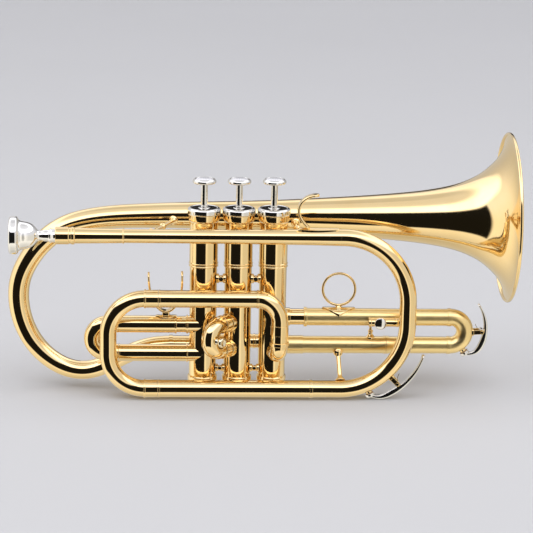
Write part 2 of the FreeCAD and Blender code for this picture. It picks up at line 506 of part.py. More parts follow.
sv = ring(R_OUT + 0.05, R_BORE_OUT, (X3_SLEEVE, Y_S3, Z3U), (1, 0, 0), x3q - X3_SLEEVE)
sv = sv.fuse(ring(7.05, R_OUT, (X3_SLEEVE, Y_S3, Z3U), (1, 0, 0), 2.2))
save("third_slide_sleeve", sv)
c3 = pipe([("L", (x3q, Y_S3, Z3U), (X3_BEND, Y_S3, Z3U)),
           ("A", (X3_BEND, Y_S3, Z3U), (1, 0, 0), (X3_BEND, Y_S3, Z3U - R3), (0, 1, 0), 180),
           ("L", (X3_BEND, Y_S3, Z3L), (x3q, Y_S3, Z3L))], R_CROOK, R_BORE)
for z in (Z3U, Z3L):
    c3 = fuse(c3, ring(6.5, R_CROOK - 0.05, (X3_BEND - 2.6, Y_S3, z), (1, 0, 0), 2.6))
c3 = fuse(c3, ring(6.5, R_CROOK - 0.05, (x3q, Y_S3, Z3L), (1, 0, 0), 2.2))
c3 = max(c3.Solids, key=lambda s: s.Volume)
save("third_slide_crook", c3)
save("third_slide_leg", ring(R_LEG, R_BORE, (-156.0, Y_S3, Z3L), (1, 0, 0), x3q + 156.0))
# finger ring on its saddle
fr = torus_arc((-125.2, Y_S3, -48.3), (0, 1, 0), 11.65, 0.95)
base = Part.makeBox(5.0, 3.0, 4.4, V(-127.7, Y_S3 - 1.5, -63.4)).fuse(
    Part.makeCone(4.4, 1.6, 3.2, V(-125.2, Y_S3, -63.4), V(0, 0, 1)))
fl = cyl(7.35, (-137.0, Y_S3, Z3U), (1, 0, 0), 23.6).cut(cyl(R_OUT + 0.05, (-140, Y_S3, Z3U), (1, 0, 0), 40))
dia = Part.Face(Part.makePolygon([V(-137.2, Y_S3, 0), V(-125.2, Y_S3 - 7.2, 0), V(-113.2, Y_S3, 0), V(-125.2, Y_S3 + 7.2, 0), V(-137.2, Y_S3, 0)]))
dia.translate(V(0, 0, Z3U))
dia = dia.extrude(V(0, 0, 12))
fl = fl.common(dia)
base = base.cut(cyl(R_OUT + 0.05, (-140, Y_S3, Z3U), (1, 0, 0), 40))
fr = fuse(fr, base, *fl.Solids)
save("finger_ring", max(fr.Solids, key=lambda s: s.Volume))
# lyre socket: short square-mouthed tube soldered to the front of the sleeve, with a clamp screw
ZS, YS = -70.4, Y_S3 - R_OUT - 0.05 - 2.95
soc = ring(3.0, 2.2, (-104.0, YS, ZS), (1, 0, 0), 21.6)
soc = soc.fuse(ring(3.25, 2.2, (-84.0, YS, ZS), (1, 0, 0), 1.6)).fuse(ring(3.25, 2.2, (-104.0, YS, ZS), (1, 0, 0), 1.6))
pad = Part.makeBox(18.0, 3.6, 3.6, V(-102.2, YS + 1.0, ZS - 1.0)).cut(cyl(2.2, (-110, YS, ZS), (1, 0, 0), 40))
soc = soc.fuse(pad).cut(cyl(R_OUT + 0.05, (-150, Y_S3, Z3U), (1, 0, 0), 70))
soc = soc.cut(cyl(0.95, (-95.8, YS - 6, ZS), (0, 1, 0), 5.0))
save("lyre_socket", max(soc.Solids, key=lambda s: s.Volume))
scr = lathe([(0, 0), (0.15, 3.2), (0.4, 4.0), (1.2, 4.3), (1.9, 4.0), (2.15, 3.2), (2.15, 0.9), (2.95, 0.9), (2.95, 0)],
            (-95.8, YS - 5.25, ZS), (0, 1, 0))
save("lyre_screw", scr)
# stop stud on the lower tube
st = lathe([(0, 0), (0, 3.6), (1.4, 3.3), (2.0, 2.5), (3.0, 1.7), (4.4, 1.45), (5.0, 1.9), (5.8, 1.9), (6.2, 1.2), (7.9, 1.0), (8.1, 0.7), (8.1, 0)],
           (-101.6, Y_S3, -84.6), (0, 0, 1)).cut(cyl(R_OUT, (-120, Y_S3, Z3L), (1, 0, 0), 40))
save("third_slide_stop", max(st.Solids, key=lambda s: s.Volume))

# ------------------------------------------------------------- hook and stays
hk = strip([(-149.0, 0.6), (-152.6, 4.6), (-155.9, 9.6), (-156.9, 14.2), (-155.3, 19.4), (-150.4, 23.7), (-142.6, 25.3)],
           lambda u: 1.6 - 0.3 * u, 7.0, Y_LEAD)
hb = cyl(6.9, (-157.2, Y_LEAD, Z_LEAD), (1, 0, 0), 29.3)
hb = hb.common(Part.makeBox(29.3, 8.0, 8, V(-157.2, Y_LEAD - 4.0, Z_LEAD + 2.0)))
tap = lathe([(0, 0), (0, 5.12), (-148.6 + 208.4, 5.62), (X_BOW_START + 208.4, 6.12), (X_BOW + 208.4, 6.12), (X_BOW + 208.4, 0)], (-208.4, Y_LEAD, Z_LEAD), (1, 0, 0))
hb = hb.cut(tap)
hk = fuse(hk, *hb.Solids).cut(tap)
save("finger_hook", max(hk.Solids, key=lambda s: s.Volume))


def stay(a, b, r, ra, rb, cutters):
    a, b = V(*a), V(*b)
    d = b.sub(a)
    s = cyl(r, a, d, d.Length)
    s = s.fuse(Part.makeCone(ra, r, 3.0, a, d)).fuse(Part.makeCone(rb, r, 3.0, b, V(0, 0, 0).sub(d)))
    s = s.fuse(Part.makeSphere(r + 0.9, a.add(V(d).multiply(0.5))))
    for c in cutters:
        s = s.cut(c)
    return max(s.Solids, key=lambda q: q.Volume)


bell_solid = Part.Face(Part.Wire([co.toShape(), Part.makeLine(outer[-1], V(BELL[-1][0], 0, 0)),
                                  Part.makeLine(V(BELL[-1][0], 0, 0), V(BELL[0][0], 0, 0)),
                                  Part.makeLine(V(BELL[0][0], 0, 0), outer[0])])).revolve(V(0, 0, 0), V(1, 0, 0), 360).Solids[0]
bell_solid.translate(V(0, Y_BELL, 0))
tap2 = lathe([(0, 0), (0, 4.93), (X_REC_END * -1 - 208.4, 5.12), (X_REC_END * -1 - 208.4, 0)], (X_REC_END, Y_LEAD, Z_LEAD), (1, 0, 0))
stays = [stay((-262.0, Y_LEAD, -4.0), (-240.0, 24.0, -1.0), 1.7, 3.4, 3.8, [tap2, bow_o, bell_solid])]
stays.append(stay((-156.6, Y_LEAD, -4.6), (-156.6, 24.0, -2.0), 1.7, 3.4, 3.8, [tap, bell_solid]))
save("bell_stays", Part.makeCompound(stays))
t3full = cyl(R_OUT, (keep3, Y_S3, Z3L), (1, 0, 0), X3_OUT - keep3)
a1, b1 = V(-125.2, Y_S3 - 4.6, Z3L - 3.6), V(-124.2, Y_LEAD + 3.0, Z_LOW + 5.0)
d1 = b1.sub(a1)
br = cyl(1.65, a1, d1, d1.Length)
br = br.fuse(Part.makeSphere(3.6, a1.add(V(d1).multiply(0.06)))).fuse(Part.makeCone(3.9, 1.65, 4.0, b1, V(0, 0, 0).sub(d1)))
br = br.cut(t3full).cut(fb_solid)
save("front_stay", max(br.Solids, key=lambda q: q.Volume))

# ------------------------------------------------------------- water keys
def water_key(name, pivot, y, lever_pts, pad, pad_dir, post_from, post_w, cutters, body):
    """Two posts and a pin stand on the tube; the lever, with its cork, turns on the pin."""
    px, pz = pivot
    post = None
    for s in (-1, 1):
        a = V(post_from[0], y + s * 3.0, post_from[1]); b = V(px, y + s * 3.0, pz)
        d = b.sub(a)
        q = Part.makeBox(d.Length, 1.2, post_w, V(0, -0.6, -post_w / 2))
        ang = math.degrees(math.atan2(-d.z, d.x))
        q.rotate(V(0, 0, 0), V(0, 1, 0), ang)
        q.translate(a)
        q = q.fuse(cyl(post_w / 2, (px, y + s * 3.0 - 0.6, pz), (0, 1, 0), 1.2))
        post = q if post is None else post.fuse(q)
    post = post.fuse(cyl(0.8, (px, y - 4.2, pz), (0, 1, 0), 8.4))
    d = V(post_from[0] - px, 0, post_from[1] - pz)
    d.normalize()
    f = Part.makeBox(1.6, 8.0, post_w + 1.6, V(-0.8, -4.0, -(post_w + 1.6) / 2))
    f.rotate(V(0, 0, 0), V(0, 1, 0), math.degrees(math.atan2(-d.z, d.x)))
    f.translate(V(post_from[0], y, post_from[1]))
    post = post.fuse(f)
    for c in cutters:
        post = post.cut(c)
    post = max(post.Solids, key=lambda q: q.Volume)
    save(name + "_post", Part.makeCompound([post, body]))
    lev = strip(lever_pts, 1.2, 3.6, y)
    lev = lev.fuse(cyl(1.9, (px, y - 2.2, pz), (0, 1, 0), 4.4))
    # web between the barrel and the strip
    c = spline([(x, 0, z) for x, z in lever_pts])
    q = c.value(c.parameter(V(px, 0, pz)))
    w = V(q.x - px, 0, q.z - pz)
    if w.Length > 0.3:
        bx = Part.makeBox(w.Length, 3.6, 3.0, V(0, -1.8, -1.5))
        bx.rotate(V(0, 0, 0), V(0, 1, 0), math.degrees(math.atan2(-w.z, w.x)))
        bx.translate(V(px, y, pz))
        lev = lev.fuse(bx)
    pd = V(pad_dir[0], 0, pad_dir[1]); pd.normalize()
    cup0 = V(pad[0], y, pad[1])
    # cup opens towards the tube; the cork sits in it
    cup = cyl(3.4, cup0, pd, 2.6).cut(cyl(2.8, cup0.sub(V(pd).multiply(0.1)), pd, 1.9))
    lev = lev.fuse(cup)
    lev = lev.cut(cyl(0.83, (px, y - 6, pz), (0, 1, 0), 12))
    lev = lev.cut(cyl(2.8, cup0.sub(V(pd).multiply(3)), pd, 4.8))
    lev = max(lev.Solids, key=lambda q: q.Volume)
    save(name, lev)
    cork = cyl(2.75, cup0.sub(V(pd).multiply(0.5)), pd, 2.28)
    save(name + "_cork", cork)
    return post, lev


# third slide key: nipple under the bend, lever over its outside
bend3 = Part.makeTorus(R3, R_CROOK, V(X3_BEND, Y_S3, Z3U - R3), V(0, 1, 0))
leg3l = cyl(R_CROOK + 0.4, (x3q, Y_S3, Z3L), (1, 0, 0), X3_BEND - x3q)
c3c = V(X3_BEND, Y_S3, Z3U - R3)
pd3 = V(0.56, 0, -0.83); pd3.normalize()
nip3 = cyl(2.3, c3c.add(V(pd3).multiply(R3 + 4.0)), pd3, 3.4).cut(bend3).cut(cyl(1.1, c3c.add(V(pd3).multiply(R3)), pd3, 10))
nip3 = max(nip3.Solids, key=lambda q: q.Volume)
cup3 = c3c.add(V(pd3).multiply(R3 + 4.0 + 3.4 + 0.52))
l3 = [(-23.2, -58.3), (-20.6, -62.6), (-17.9, -70.0), (-17.3, -79.2), (-19.4, -88.0), (-23.8, -94.3), (cup3.x + pd3.x * 2.6 + 1.0, cup3.z + pd3.z * 2.6 + 0.3)]
water_key("third_water_key", (-21.0, -79.0), Y_S3, l3, (cup3.x, cup3.z), (pd3.x, pd3.z), (-27.6, -79.4), 3.2, [bend3], nip3)

# front bow key on its lower right corner
bendf = Part.makeTorus(BOW_R, R_CROOK, V(X_BOW, Y_LEAD, zc_l), V(0, 1, 0))
fcc = V(X_BOW, Y_LEAD, zc_l)
pdf = V(22.2, 0, -51.6); pdf.normalize()
nipf = cyl(2.3, fcc.add(V(pdf).multiply(BOW_R + 4.0)), pdf, 3.0).cut(bendf).cut(cyl(1.1, fcc.add(V(pdf).multiply(BOW_R)), pdf, 10))
nipf = max(nipf.Solids, key=lambda q: q.Volume)
cupf = fcc.add(V(pdf).multiply(BOW_R + 4.0 + 3.0 + 0.52))
lf = [(-64.4, -91.5), (-67.6, -99.5), (-73.0, -108.0), (-79.5, -114.6), (-87.0, -119.6), (-94.5, -122.8), (cupf.x + pdf.x * 2.4 - 0.4, cupf.z + pdf.z * 2.4 + 0.1)]
pv = V(40.4, 0, -42.0); pv.normalize()
pivf = fcc.add(V(pv).multiply(59.4))
basf = fcc.add(V(pv).multiply(53.2))
water_key("body_water_key", (pivf.x, pivf.z), Y_LEAD, lf, (cupf.x, cupf.z), (pdf.x, pdf.z), (basf.x, basf.z), 3.4, [bendf], nipf)
print("files", len(os.listdir("parts")))
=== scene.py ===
import bpy
import math
import numpy as np
from mathutils import Vector, Matrix


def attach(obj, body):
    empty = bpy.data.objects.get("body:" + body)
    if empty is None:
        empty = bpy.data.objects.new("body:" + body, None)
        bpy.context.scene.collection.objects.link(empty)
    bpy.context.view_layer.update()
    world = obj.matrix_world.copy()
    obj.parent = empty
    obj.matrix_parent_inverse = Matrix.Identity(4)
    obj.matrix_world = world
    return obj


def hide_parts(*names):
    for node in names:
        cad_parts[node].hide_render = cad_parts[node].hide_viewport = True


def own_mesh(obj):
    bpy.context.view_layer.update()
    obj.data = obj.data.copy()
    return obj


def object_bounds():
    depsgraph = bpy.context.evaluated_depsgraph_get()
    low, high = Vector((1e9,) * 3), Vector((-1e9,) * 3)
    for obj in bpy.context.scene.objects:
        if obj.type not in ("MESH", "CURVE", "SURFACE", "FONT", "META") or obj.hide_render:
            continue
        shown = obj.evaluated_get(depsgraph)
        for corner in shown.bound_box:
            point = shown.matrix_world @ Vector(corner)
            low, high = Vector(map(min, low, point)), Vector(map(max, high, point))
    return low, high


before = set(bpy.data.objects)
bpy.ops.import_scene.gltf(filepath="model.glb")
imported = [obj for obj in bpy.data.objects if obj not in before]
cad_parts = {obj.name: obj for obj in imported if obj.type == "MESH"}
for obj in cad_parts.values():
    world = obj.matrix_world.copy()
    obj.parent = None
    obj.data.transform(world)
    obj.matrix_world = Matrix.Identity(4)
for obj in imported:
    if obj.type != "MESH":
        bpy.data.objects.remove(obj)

CAD_BOX = [list(v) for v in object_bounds()]

# ------------------------------------------------------------------ layout (mm)
Y_LEAD, Y_BELL, Y_S1, Y_S3, Y_TAIL = -20.0, 26.0, -3.6, 1.5, 9.5
R_OUT, R_BORE_OUT, R_LEG, R_BORE, R_CROOK = 6.20, 5.875, 5.85, 5.45, 6.12
V_X = (-222.8, -198.0, -173.1)
Z_CAS_BOT, Z_CAS_TOP, Z_BOTTOM = -116.0, 7.0, -121.0
Z_PIST_TOP = -10.0
Z_LEAD, Z_LOW, Z_UP = -5.2, -116.5, -50.5
X_MOUTH, X_REC_END, X_BOW_START = -327.3, -279.2, -126.8
BOW_R, X_BOW, X_FB_END, X_MS = 47.5, -124.95, -146.5, -254.7
CROOK_R, X_CROOK, X_ELBOW, ELBOW_R, X_STUB = 25.9, -264.4, -185.3, 16.4, -168.7
Z1U, Z1L, X1_OUT, X1_BEND = -73.4, -94.7, -283.1, -291.2
Z2U, Z2L, S2_ANGLE, L2_OUT, L2_BEND = -71.2, -90.0, 44.0, 17.4, 19.6
Z3U, Z3L, X3_SLEEVE, X3_OUT, X3_BEND = -68.8, -89.6, -150.2, -90.6, -43.5
Z_TAIL = -92.2
BELL = [(-231.0, 9.70), (-207.2, 10.35), (-180.4, 11.15), (-160.3, 12.05), (-138.6, 13.25),
        (-124.1, 14.10), (-109.6, 15.05), (-95.1, 16.15), (-80.0, 17.50), (-65.4, 19.10),
        (-50.8, 21.45), (-43.5, 23.05), (-36.2, 25.20), (-28.9, 28.10), (-21.6, 32.00),
        (-14.3, 37.70), (-9.5, 42.40), (-5.0, 48.90), (-2.9, 53.60), (-1.9, 57.40), (-1.6, 60.0)]
BOW = [(-231.0, 26.0, 0.0, 9.70), (-250.0, 25.6, -0.1, 9.25), (-270.0, 24.6, -0.4, 8.80),
       (-290.0, 22.9, -1.1, 8.35), (-306.0, 21.3, -2.9, 8.00), (-321.0, 19.8, -7.2, 7.85),
       (-336.0, 18.2, -17.0, 7.75), (-347.5, 17.0, -31.0, 7.65), (-354.2, 16.0, -46.5, 7.55),
       (-355.2, 15.0, -61.0, 7.50), (-351.8, 13.6, -77.0, 7.35), (-344.6, 12.3, -91.0, 7.20),
       (-333.0, 11.0, -103.0, 7.00), (-319.0, 10.2, -110.4, 6.85), (-306.0, 9.7, -111.6, 6.75),
       (-293.0, 9.5, -107.6, 6.65), (-281.0, 9.5, -101.5, 6.60), (-270.0, 9.5, -96.6, 6.55),
       (-258.0, 9.5, -93.2, 6.50), (-247.0, 9.5, -92.2, 6.45)]
SHIFT = np.array([0.0, -26.0, 0.0])


# ------------------------------------------------------------------ materials
def nodes_of(name):
    m = bpy.data.materials.new(name)
    m.use_nodes = True
    nt = m.node_tree
    return m, nt, nt.nodes["Principled BSDF"]


def add(nt, kind, **kw):
    n = nt.nodes.new(kind)
    for k, v in kw.items():
        if k in n.inputs:
            n.inputs[k].default_value = v
        else:
            setattr(n, k, v)
    return n


def metal(name, base, deep, rough=(0.05, 0.16), coat=0.0, coat_tint=(1, 1, 1), wobble=0.05, scratch=0.02, cloud=0.35):
    """Polished metal: cloudy tone, uneven polish, very fine wiping marks and a slight waviness of the sheet."""
    m, nt, b = nodes_of(name)
    tc = add(nt, "ShaderNodeTexCoord")
    n1 = add(nt, "ShaderNodeTexNoise", Scale=38.0, Detail=4.0, Roughness=0.55)
    n2 = add(nt, "ShaderNodeTexNoise", Scale=420.0, Detail=5.0, Roughness=0.6)
    mp = add(nt, "ShaderNodeMapping")
    mp.inputs["Scale"].default_value = (160.0, 2600.0, 2600.0)
    n3 = add(nt, "ShaderNodeTexNoise", Scale=1.0, Detail=3.0, Roughness=0.5)
    n4 = add(nt, "ShaderNodeTexNoise", Scale=70.0, Detail=1.0, Roughness=0.4)
    L = nt.links.new
    for n in (n1, n2, n4):
        L(tc.outputs["Object"], n.inputs["Vector"])
    L(tc.outputs["Object"], mp.inputs["Vector"])
    L(mp.outputs["Vector"], n3.inputs["Vector"])
    ramp = add(nt, "ShaderNodeValToRGB")
    ramp.color_ramp.elements[0].position = 0.5 - cloud
    ramp.color_ramp.elements[1].position = 0.5 + cloud
    ramp.color_ramp.elements[0].color = (*deep, 1)
    ramp.color_ramp.elements[1].color = (*base, 1)
    L(n1.outputs["Fac"], ramp.inputs["Fac"])
    L(ramp.outputs["Color"], b.inputs["Base Color"])
    mix = add(nt, "ShaderNodeMath", operation="ADD")
    half = add(nt, "ShaderNodeMath", operation="MULTIPLY")
    half.inputs[1].default_value = 0.5
    L(n2.outputs["Fac"], mix.inputs[0]); L(n3.outputs["Fac"], mix.inputs[1]); L(mix.outputs[0], half.inputs[0])
    mr = add(nt, "ShaderNodeMapRange")
    mr.inputs["From Min"].default_value = 0.35; mr.inputs["From Max"].default_value = 0.7
    mr.inputs["To Min"].default_value = rough[0]; mr.inputs["To Max"].default_value = rough[1]
    L(half.outputs[0], mr.inputs["Value"]); L(mr.outputs[0], b.inputs["Roughness"])
    bp1 = add(nt, "ShaderNodeBump"); bp1.inputs["Strength"].default_value = wobble; bp1.inputs["Distance"].default_value = 0.0006
    bp2 = add(nt, "ShaderNodeBump"); bp2.inputs["Strength"].default_value = scratch; bp2.inputs["Distance"].default_value = 0.00005
    L(n4.outputs["Fac"], bp1.inputs["Height"]); L(n3.outputs["Fac"], bp2.inputs["Height"])
    L(bp1.outputs["Normal"], bp2.inputs["Normal"]); L(bp2.outputs["Normal"], b.inputs["Normal"])
    b.inputs["Metallic"].default_value = 1.0
    if coat:
        b.inputs["Coat Weight"].default_value = coat
        b.inputs["Coat Roughness"].default_value = 0.04
        b.inputs["Coat IOR"].default_value = 1.45
        b.inputs["Coat Tint"].default_value = (*coat_tint, 1)
    return m


BRASS = metal("lacquered_brass_polished", (0.90, 0.71, 0.40), (0.85, 0.62, 0.29), (0.04, 0.11), coat=0.4, coat_tint=(1.0, 0.98, 0.92))
NICKEL = metal("nickel_plate_polished", (0.80, 0.79, 0.76), (0.70, 0.68, 0.64), (0.05, 0.14), wobble=0.03)
SILVER = metal("silver_plate_polished", (0.90, 0.89, 0.86), (0.80, 0.78, 0.74), (0.04, 0.11), wobble=0.02)
MONEL = metal("monel_ground", (0.58, 0.56, 0.52), (0.46, 0.44, 0.40), (0.18, 0.32), wobble=0.01, scratch=0.06)
KNOB = metal("nickel_plate_warm", (0.84, 0.76, 0.58), (0.66, 0.56, 0.38), (0.07, 0.16), wobble=0.03)
SATIN = metal("lacquered_brass_satin", (0.95, 0.76, 0.39), (0.88, 0.65, 0.28), (0.27, 0.38), coat=0.2, coat_tint=(1.0, 0.97, 0.88), scratch=0.05, cloud=0.5)
STEEL = metal("spring_steel_wire", (0.62, 0.56, 0.46), (0.45, 0.40, 0.33), (0.15, 0.28), wobble=0.01)


def pearl_mat():
    m, nt, b = nodes_of("mother_of_pearl_inlay")
    L = nt.links.new
    tc = add(nt, "ShaderNodeTexCoord")
    mp = add(nt, "ShaderNodeMapping"); mp.inputs["Scale"].default_value = (1.0, 2.2, 1.0)
    w = add(nt, "ShaderNodeTexWave", Scale=260.0, Distortion=9.0, Detail=3.0)
    w.inputs["Detail Scale"].default_value = 1.4
    r = add(nt, "ShaderNodeValToRGB")
    r.color_ramp.elements[0].color = (0.52, 0.54, 0.57, 1); r.color_ramp.elements[1].color = (0.78, 0.77, 0.76, 1)
    e = r.color_ramp.elements.new(0.5); e.color = (0.66, 0.63, 0.67, 1)
    L(tc.outputs["Object"], mp.inputs["Vector"]); L(mp.outputs["Vector"], w.inputs["Vector"])
    L(w.outputs["Fac"], r.inputs["Fac"]); L(r.outputs["Color"], b.inputs["Base Color"])
    b.inputs["Roughness"].default_value = 0.18
    b.inputs["Coat Weight"].default_value = 0.6
    b.inputs["Coat Roughness"].default_value = 0.03
    b.inputs["Sheen Weight"].default_value = 0.15
    b.inputs["Thin Film Thickness"].default_value = 380.0
    b.inputs["Thin Film IOR"].default_value = 1.5
    return m


def cork_mat():
    m, nt, b = nodes_of("natural_cork")
    L = nt.links.new
    tc = add(nt, "ShaderNodeTexCoord")
    v = add(nt, "ShaderNodeTexVoronoi", Scale=1500.0)
    n = add(nt, "ShaderNodeTexNoise", Scale=900.0, Detail=6.0)
    r = add(nt, "ShaderNodeValToRGB")
    r.color_ramp.elements[0].color = (0.20, 0.10, 0.045, 1); r.color_ramp.elements[1].color = (0.56, 0.36, 0.19, 1)
    L(tc.outputs["Object"], v.inputs["Vector"]); L(tc.outputs["Object"], n.inputs["Vector"])
    L(n.outputs["Fac"], r.inputs["Fac"]); L(r.outputs["Color"], b.inputs["Base Color"])
    bp = add(nt, "ShaderNodeBump"); bp.inputs["Strength"].default_value = 0.5; bp.inputs["Distance"].default_value = 0.0002
    L(v.outputs["Distance"], bp.inputs["Height"]); L(bp.outputs["Normal"], b.inputs["Normal"])
    b.inputs["Roughness"].default_value = 0.85
    return m


def felt_mat():
    m, nt, b = nodes_of("wool_felt_washer")
    L = nt.links.new
    tc = add(nt, "ShaderNodeTexCoord")
    n = add(nt, "ShaderNodeTexNoise", Scale=2600.0, Detail=8.0, Roughness=0.7)
    r = add(nt, "ShaderNodeValToRGB")
    r.color_ramp.elements[0].color = (0.012, 0.012, 0.013, 1); r.color_ramp.elements[1].color = (0.06, 0.06, 0.062, 1)
    L(tc.outputs["Object"], n.inputs["Vector"]); L(n.outputs["Fac"], r.inputs["Fac"]); L(r.outputs["Color"], b.inputs["Base Color"])
    bp = add(nt, "ShaderNodeBump"); bp.inputs["Strength"].default_value = 0.6; bp.inputs["Distance"].default_value = 0.0003
    L(n.outputs["Fac"], bp.inputs["Height"]); L(bp.outputs["Normal"], b.inputs["Normal"])
    b.inputs["Roughness"].default_value = 0.95
    b.inputs["Sheen Weight"].default_value = 0.4
    return m


PEARL, CORK, FELT = pearl_mat(), cork_mat(), felt_mat()


# ------------------------------------------------------------------ mesh tools
def unit(v):
    v = np.asarray(v, float)
    return v / np.linalg.norm(v)


def make(name, verts, faces, mat, body, sharp=38.0):
    me = bpy.data.meshes.new(name)
    v = (np.asarray(verts, float) + SHIFT) * 0.001
    me.from_pydata([tuple(p) for p in v], [], [tuple(int(i) for i in f) for f in faces])
    me.validate(); me.update()
    ob = bpy.data.objects.new(name, me)
    bpy.context.collection.objects.link(ob)
    me.materials.append(mat)
    me.shade_smooth()
    me.set_sharp_from_angle(angle=math.radians(sharp))
    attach(ob, body)
    return ob


def join(name, parts, mat, body, sharp=38.0):
    vs, fs, k = [], [], 0
    for v, f in parts:
        vs.append(np.asarray(v, float))
        fs += [[i + k for i in q] for q in f]
        k += len(v)
    return make(name, np.vstack(vs), fs, mat, body, sharp)


def basis(d):
    d = unit(d)
    a = np.array([0.0, 0.0, 1.0]) if abs(d[2]) < 0.9 else np.array([1.0, 0.0, 0.0])
    u = unit(np.cross(a, d))
    return u, np.cross(d, u), d


def rounded(prof, r=0.2, n=4, closed=True):
    """Rounds the corners of an outline and keeps its long runs straight with support points."""
    pts = [np.array(p, float) for p in prof]
    out = []
    m = len(pts)
    for i in range(m):
        p = pts[i]
        if not closed and i in (0, m - 1):
            out.append(p); continue
        a, b = pts[i - 1], pts[(i + 1) % m]
        la, lb = np.linalg.norm(a - p), np.linalg.norm(b - p)
        if la < 1e-6 or lb < 1e-6:
            out.append(p); continue
        ua, ub = (a - p) / la, (b - p) / lb
        turn = math.degrees(math.acos(max(-1, min(1, float(-ua @ ub)))))
        if turn < 16 or (abs(p[1]) < 1e-6):
            out.append(p); continue
        k = min(r, 0.42 * la, 0.42 * lb)
        p0, p1 = p + ua * k, p + ub * k
        for j in range(n + 1):
            t = j / n
            out.append((1 - t) ** 2 * p0 + 2 * t * (1 - t) * p + t * t * p1)
    res = []
    m = len(out)
    for i in range(m if closed else m - 1):
        a, b = out[i], out[(i + 1) % m]
        res.append(a)
        l = np.linalg.norm(b - a)
        if l > 0.9:
            e = min(0.12, l * 0.1)
            res += [a + (b - a) * e / l, b - (b - a) * e / l]
    if not closed:
        res.append(out[-1])
    return [tuple(p) for p in res]


def lathe_data(prof, p, d, seg=96, closed=True):
    """prof: (distance along d, radius) points. Points of zero radius sit on the axis."""
    u, w, d = basis(d)
    p = np.asarray(p, float)
    ang = np.arange(seg) * 2 * math.pi / seg
    cs, sn = np.cos(ang), np.sin(ang)
    verts, rings = [], []
    for a, r in prof:
        if r < 1e-6:
            rings.append([len(verts)]); verts.append(p + d * a)
        else:
            i0 = len(verts)
            for c, s in zip(cs, sn):
                verts.append(p + d * a + (u * c + w * s) * r)
            rings.append(list(range(i0, i0 + seg)))
    faces = []
    m = len(rings)
    for i in range(m if closed else m - 1):
        A, B = rings[i], rings[(i + 1) % m]
        if len(A) == 1 and len(B) == 1:
            continue
        for k in range(seg):
            k2 = (k + 1) % seg
            if len(A) == 1:
                faces.append([A[0], B[k2], B[k]])
            elif len(B) == 1:
                faces.append([A[k], A[k2], B[0]])
            else:
                faces.append([A[k], A[k2], B[k2], B[k]])
    # outlines are given with the outside running against the axis or with it; fix by signed area
    area = sum(prof[i][0] * prof[(i + 1) % len(prof)][1] - prof[(i + 1) % len(prof)][0] * prof[i][1] for i in range(len(prof)))
    if area < 0:
        faces = [f[::-1] for f in faces]
    faces = [f[::-1] for f in faces]
    return np.array(verts), faces


def lathe(name, prof, p, d, mat, body="root", nodes=(), r=0.2, seg=96, sharp=38.0):
    v, f = lathe_data(rounded(prof, r), p, d, seg)
    ob = make(name, v, f, mat, body, sharp)
    if nodes:
        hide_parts(*nodes)
    return ob


def cubic(pts, n):
    """Natural cubic spline through points (rows), by chord length."""
    P = np.asarray(pts, float)
    t = np.concatenate([[0], np.cumsum(np.linalg.norm(np.diff(P, axis=0), axis=1))])
    m = len(t)
    h = np.diff(t)
    A = np.zeros((m, m)); R = np.zeros((m, P.shape[1]))
    A[0, 0] = A[-1, -1] = 1
    for i in range(1, m - 1):
        A[i, i - 1], A[i, i], A[i, i + 1] = h[i - 1], 2 * (h[i - 1] + h[i]), h[i]
        R[i] = 6 * ((P[i + 1] - P[i]) / h[i] - (P[i] - P[i - 1]) / h[i - 1])
    M = np.linalg.solve(A, R)
    out = []
    for s in np.linspace(0, t[-1], n):
        i = min(max(np.searchsorted(t, s) - 1, 0), m - 2)
        a, b = t[i + 1] - s, s - t[i]
        out.append(M[i] * a ** 3 / (6 * h[i]) + M[i + 1] * b ** 3 / (6 * h[i]) + (P[i] / h[i] - M[i] * h[i] / 6) * a + (P[i + 1] / h[i] - M[i + 1] * h[i] / 6) * b)
    return np.array(out)


def path(segs, step=3.0):
    """Straight and circular runs to points and tangents."""
    P, T = [], []

    def put(p, t):
        if P and np.linalg.norm(P[-1] - p) < 1e-2:
            return
        P.append(np.array(p, float)); T.append(unit(t))
    for s in segs:
        if s[0] == "L":
            a, b = np.array(s[1], float), np.array(s[2], float)
            l = np.linalg.norm(b - a); d = (b - a) / l
            put(a, d)
            if l > 1.0:
                put(a + d * 0.15, d); put(b - d * 0.15, d)
            put(b, d)
        else:
            _, st, tg, ce, ax, an = s
            st, ce, ax = np.array(st, float), np.array(ce, float), unit(ax)
            n = max(2, int(round(abs(an) / step)))
            for k in range(n + 1):
                q = Matrix.Rotation(math.radians(an * k / n), 3, Vector(ax))
                R = np.array(q)
                put(ce + R @ (st - ce), R @ unit(tg))
    return np.array(P), np.array(T)


def frames(P, T, ref=(0, 1, 0)):
    r = np.array(ref, float)
    out = []
    for t in T:
        r = r - t * (r @ t)
        if np.linalg.norm(r) < 1e-6:
            r = np.array([1.0, 0, 0]) - t * t[0]
        r = unit(r)
        out.append((r, np.cross(t, r)))
    return out


def sweep_data(P, T, section, scale=None, cap=True, ref=(0, 1, 0)):
    """A closed section (a, b points: a along the carried reference, b across it) along a path."""
    fr = frames(P, T, ref)
    sec = np.asarray(section, float)
    m = len(sec)
    verts, faces = [], []
    for i, (p, (u, w)) in enumerate(zip(P, fr)):
        s = 1.0 if scale is None else (scale if np.isscalar(scale) else scale[i])
        s = (s, s) if np.isscalar(s) else s
        for a, b in sec:
            verts.append(p + u * a * s[0] + w * b * s[1])
    for i in range(len(P) - 1):
        for k in range(m):
            k2 = (k + 1) % m
            faces.append([i * m + k, i * m + k2, (i + 1) * m + k2, (i + 1) * m + k])
    if cap:
        faces.append(list(range(m))[::-1])
        faces.append(list(range((len(P) - 1) * m, len(P) * m)))
    return np.array(verts), faces


def circle(n=56):
    return [(math.cos(2 * math.pi * k / n), math.sin(2 * math.pi * k / n)) for k in range(n)]


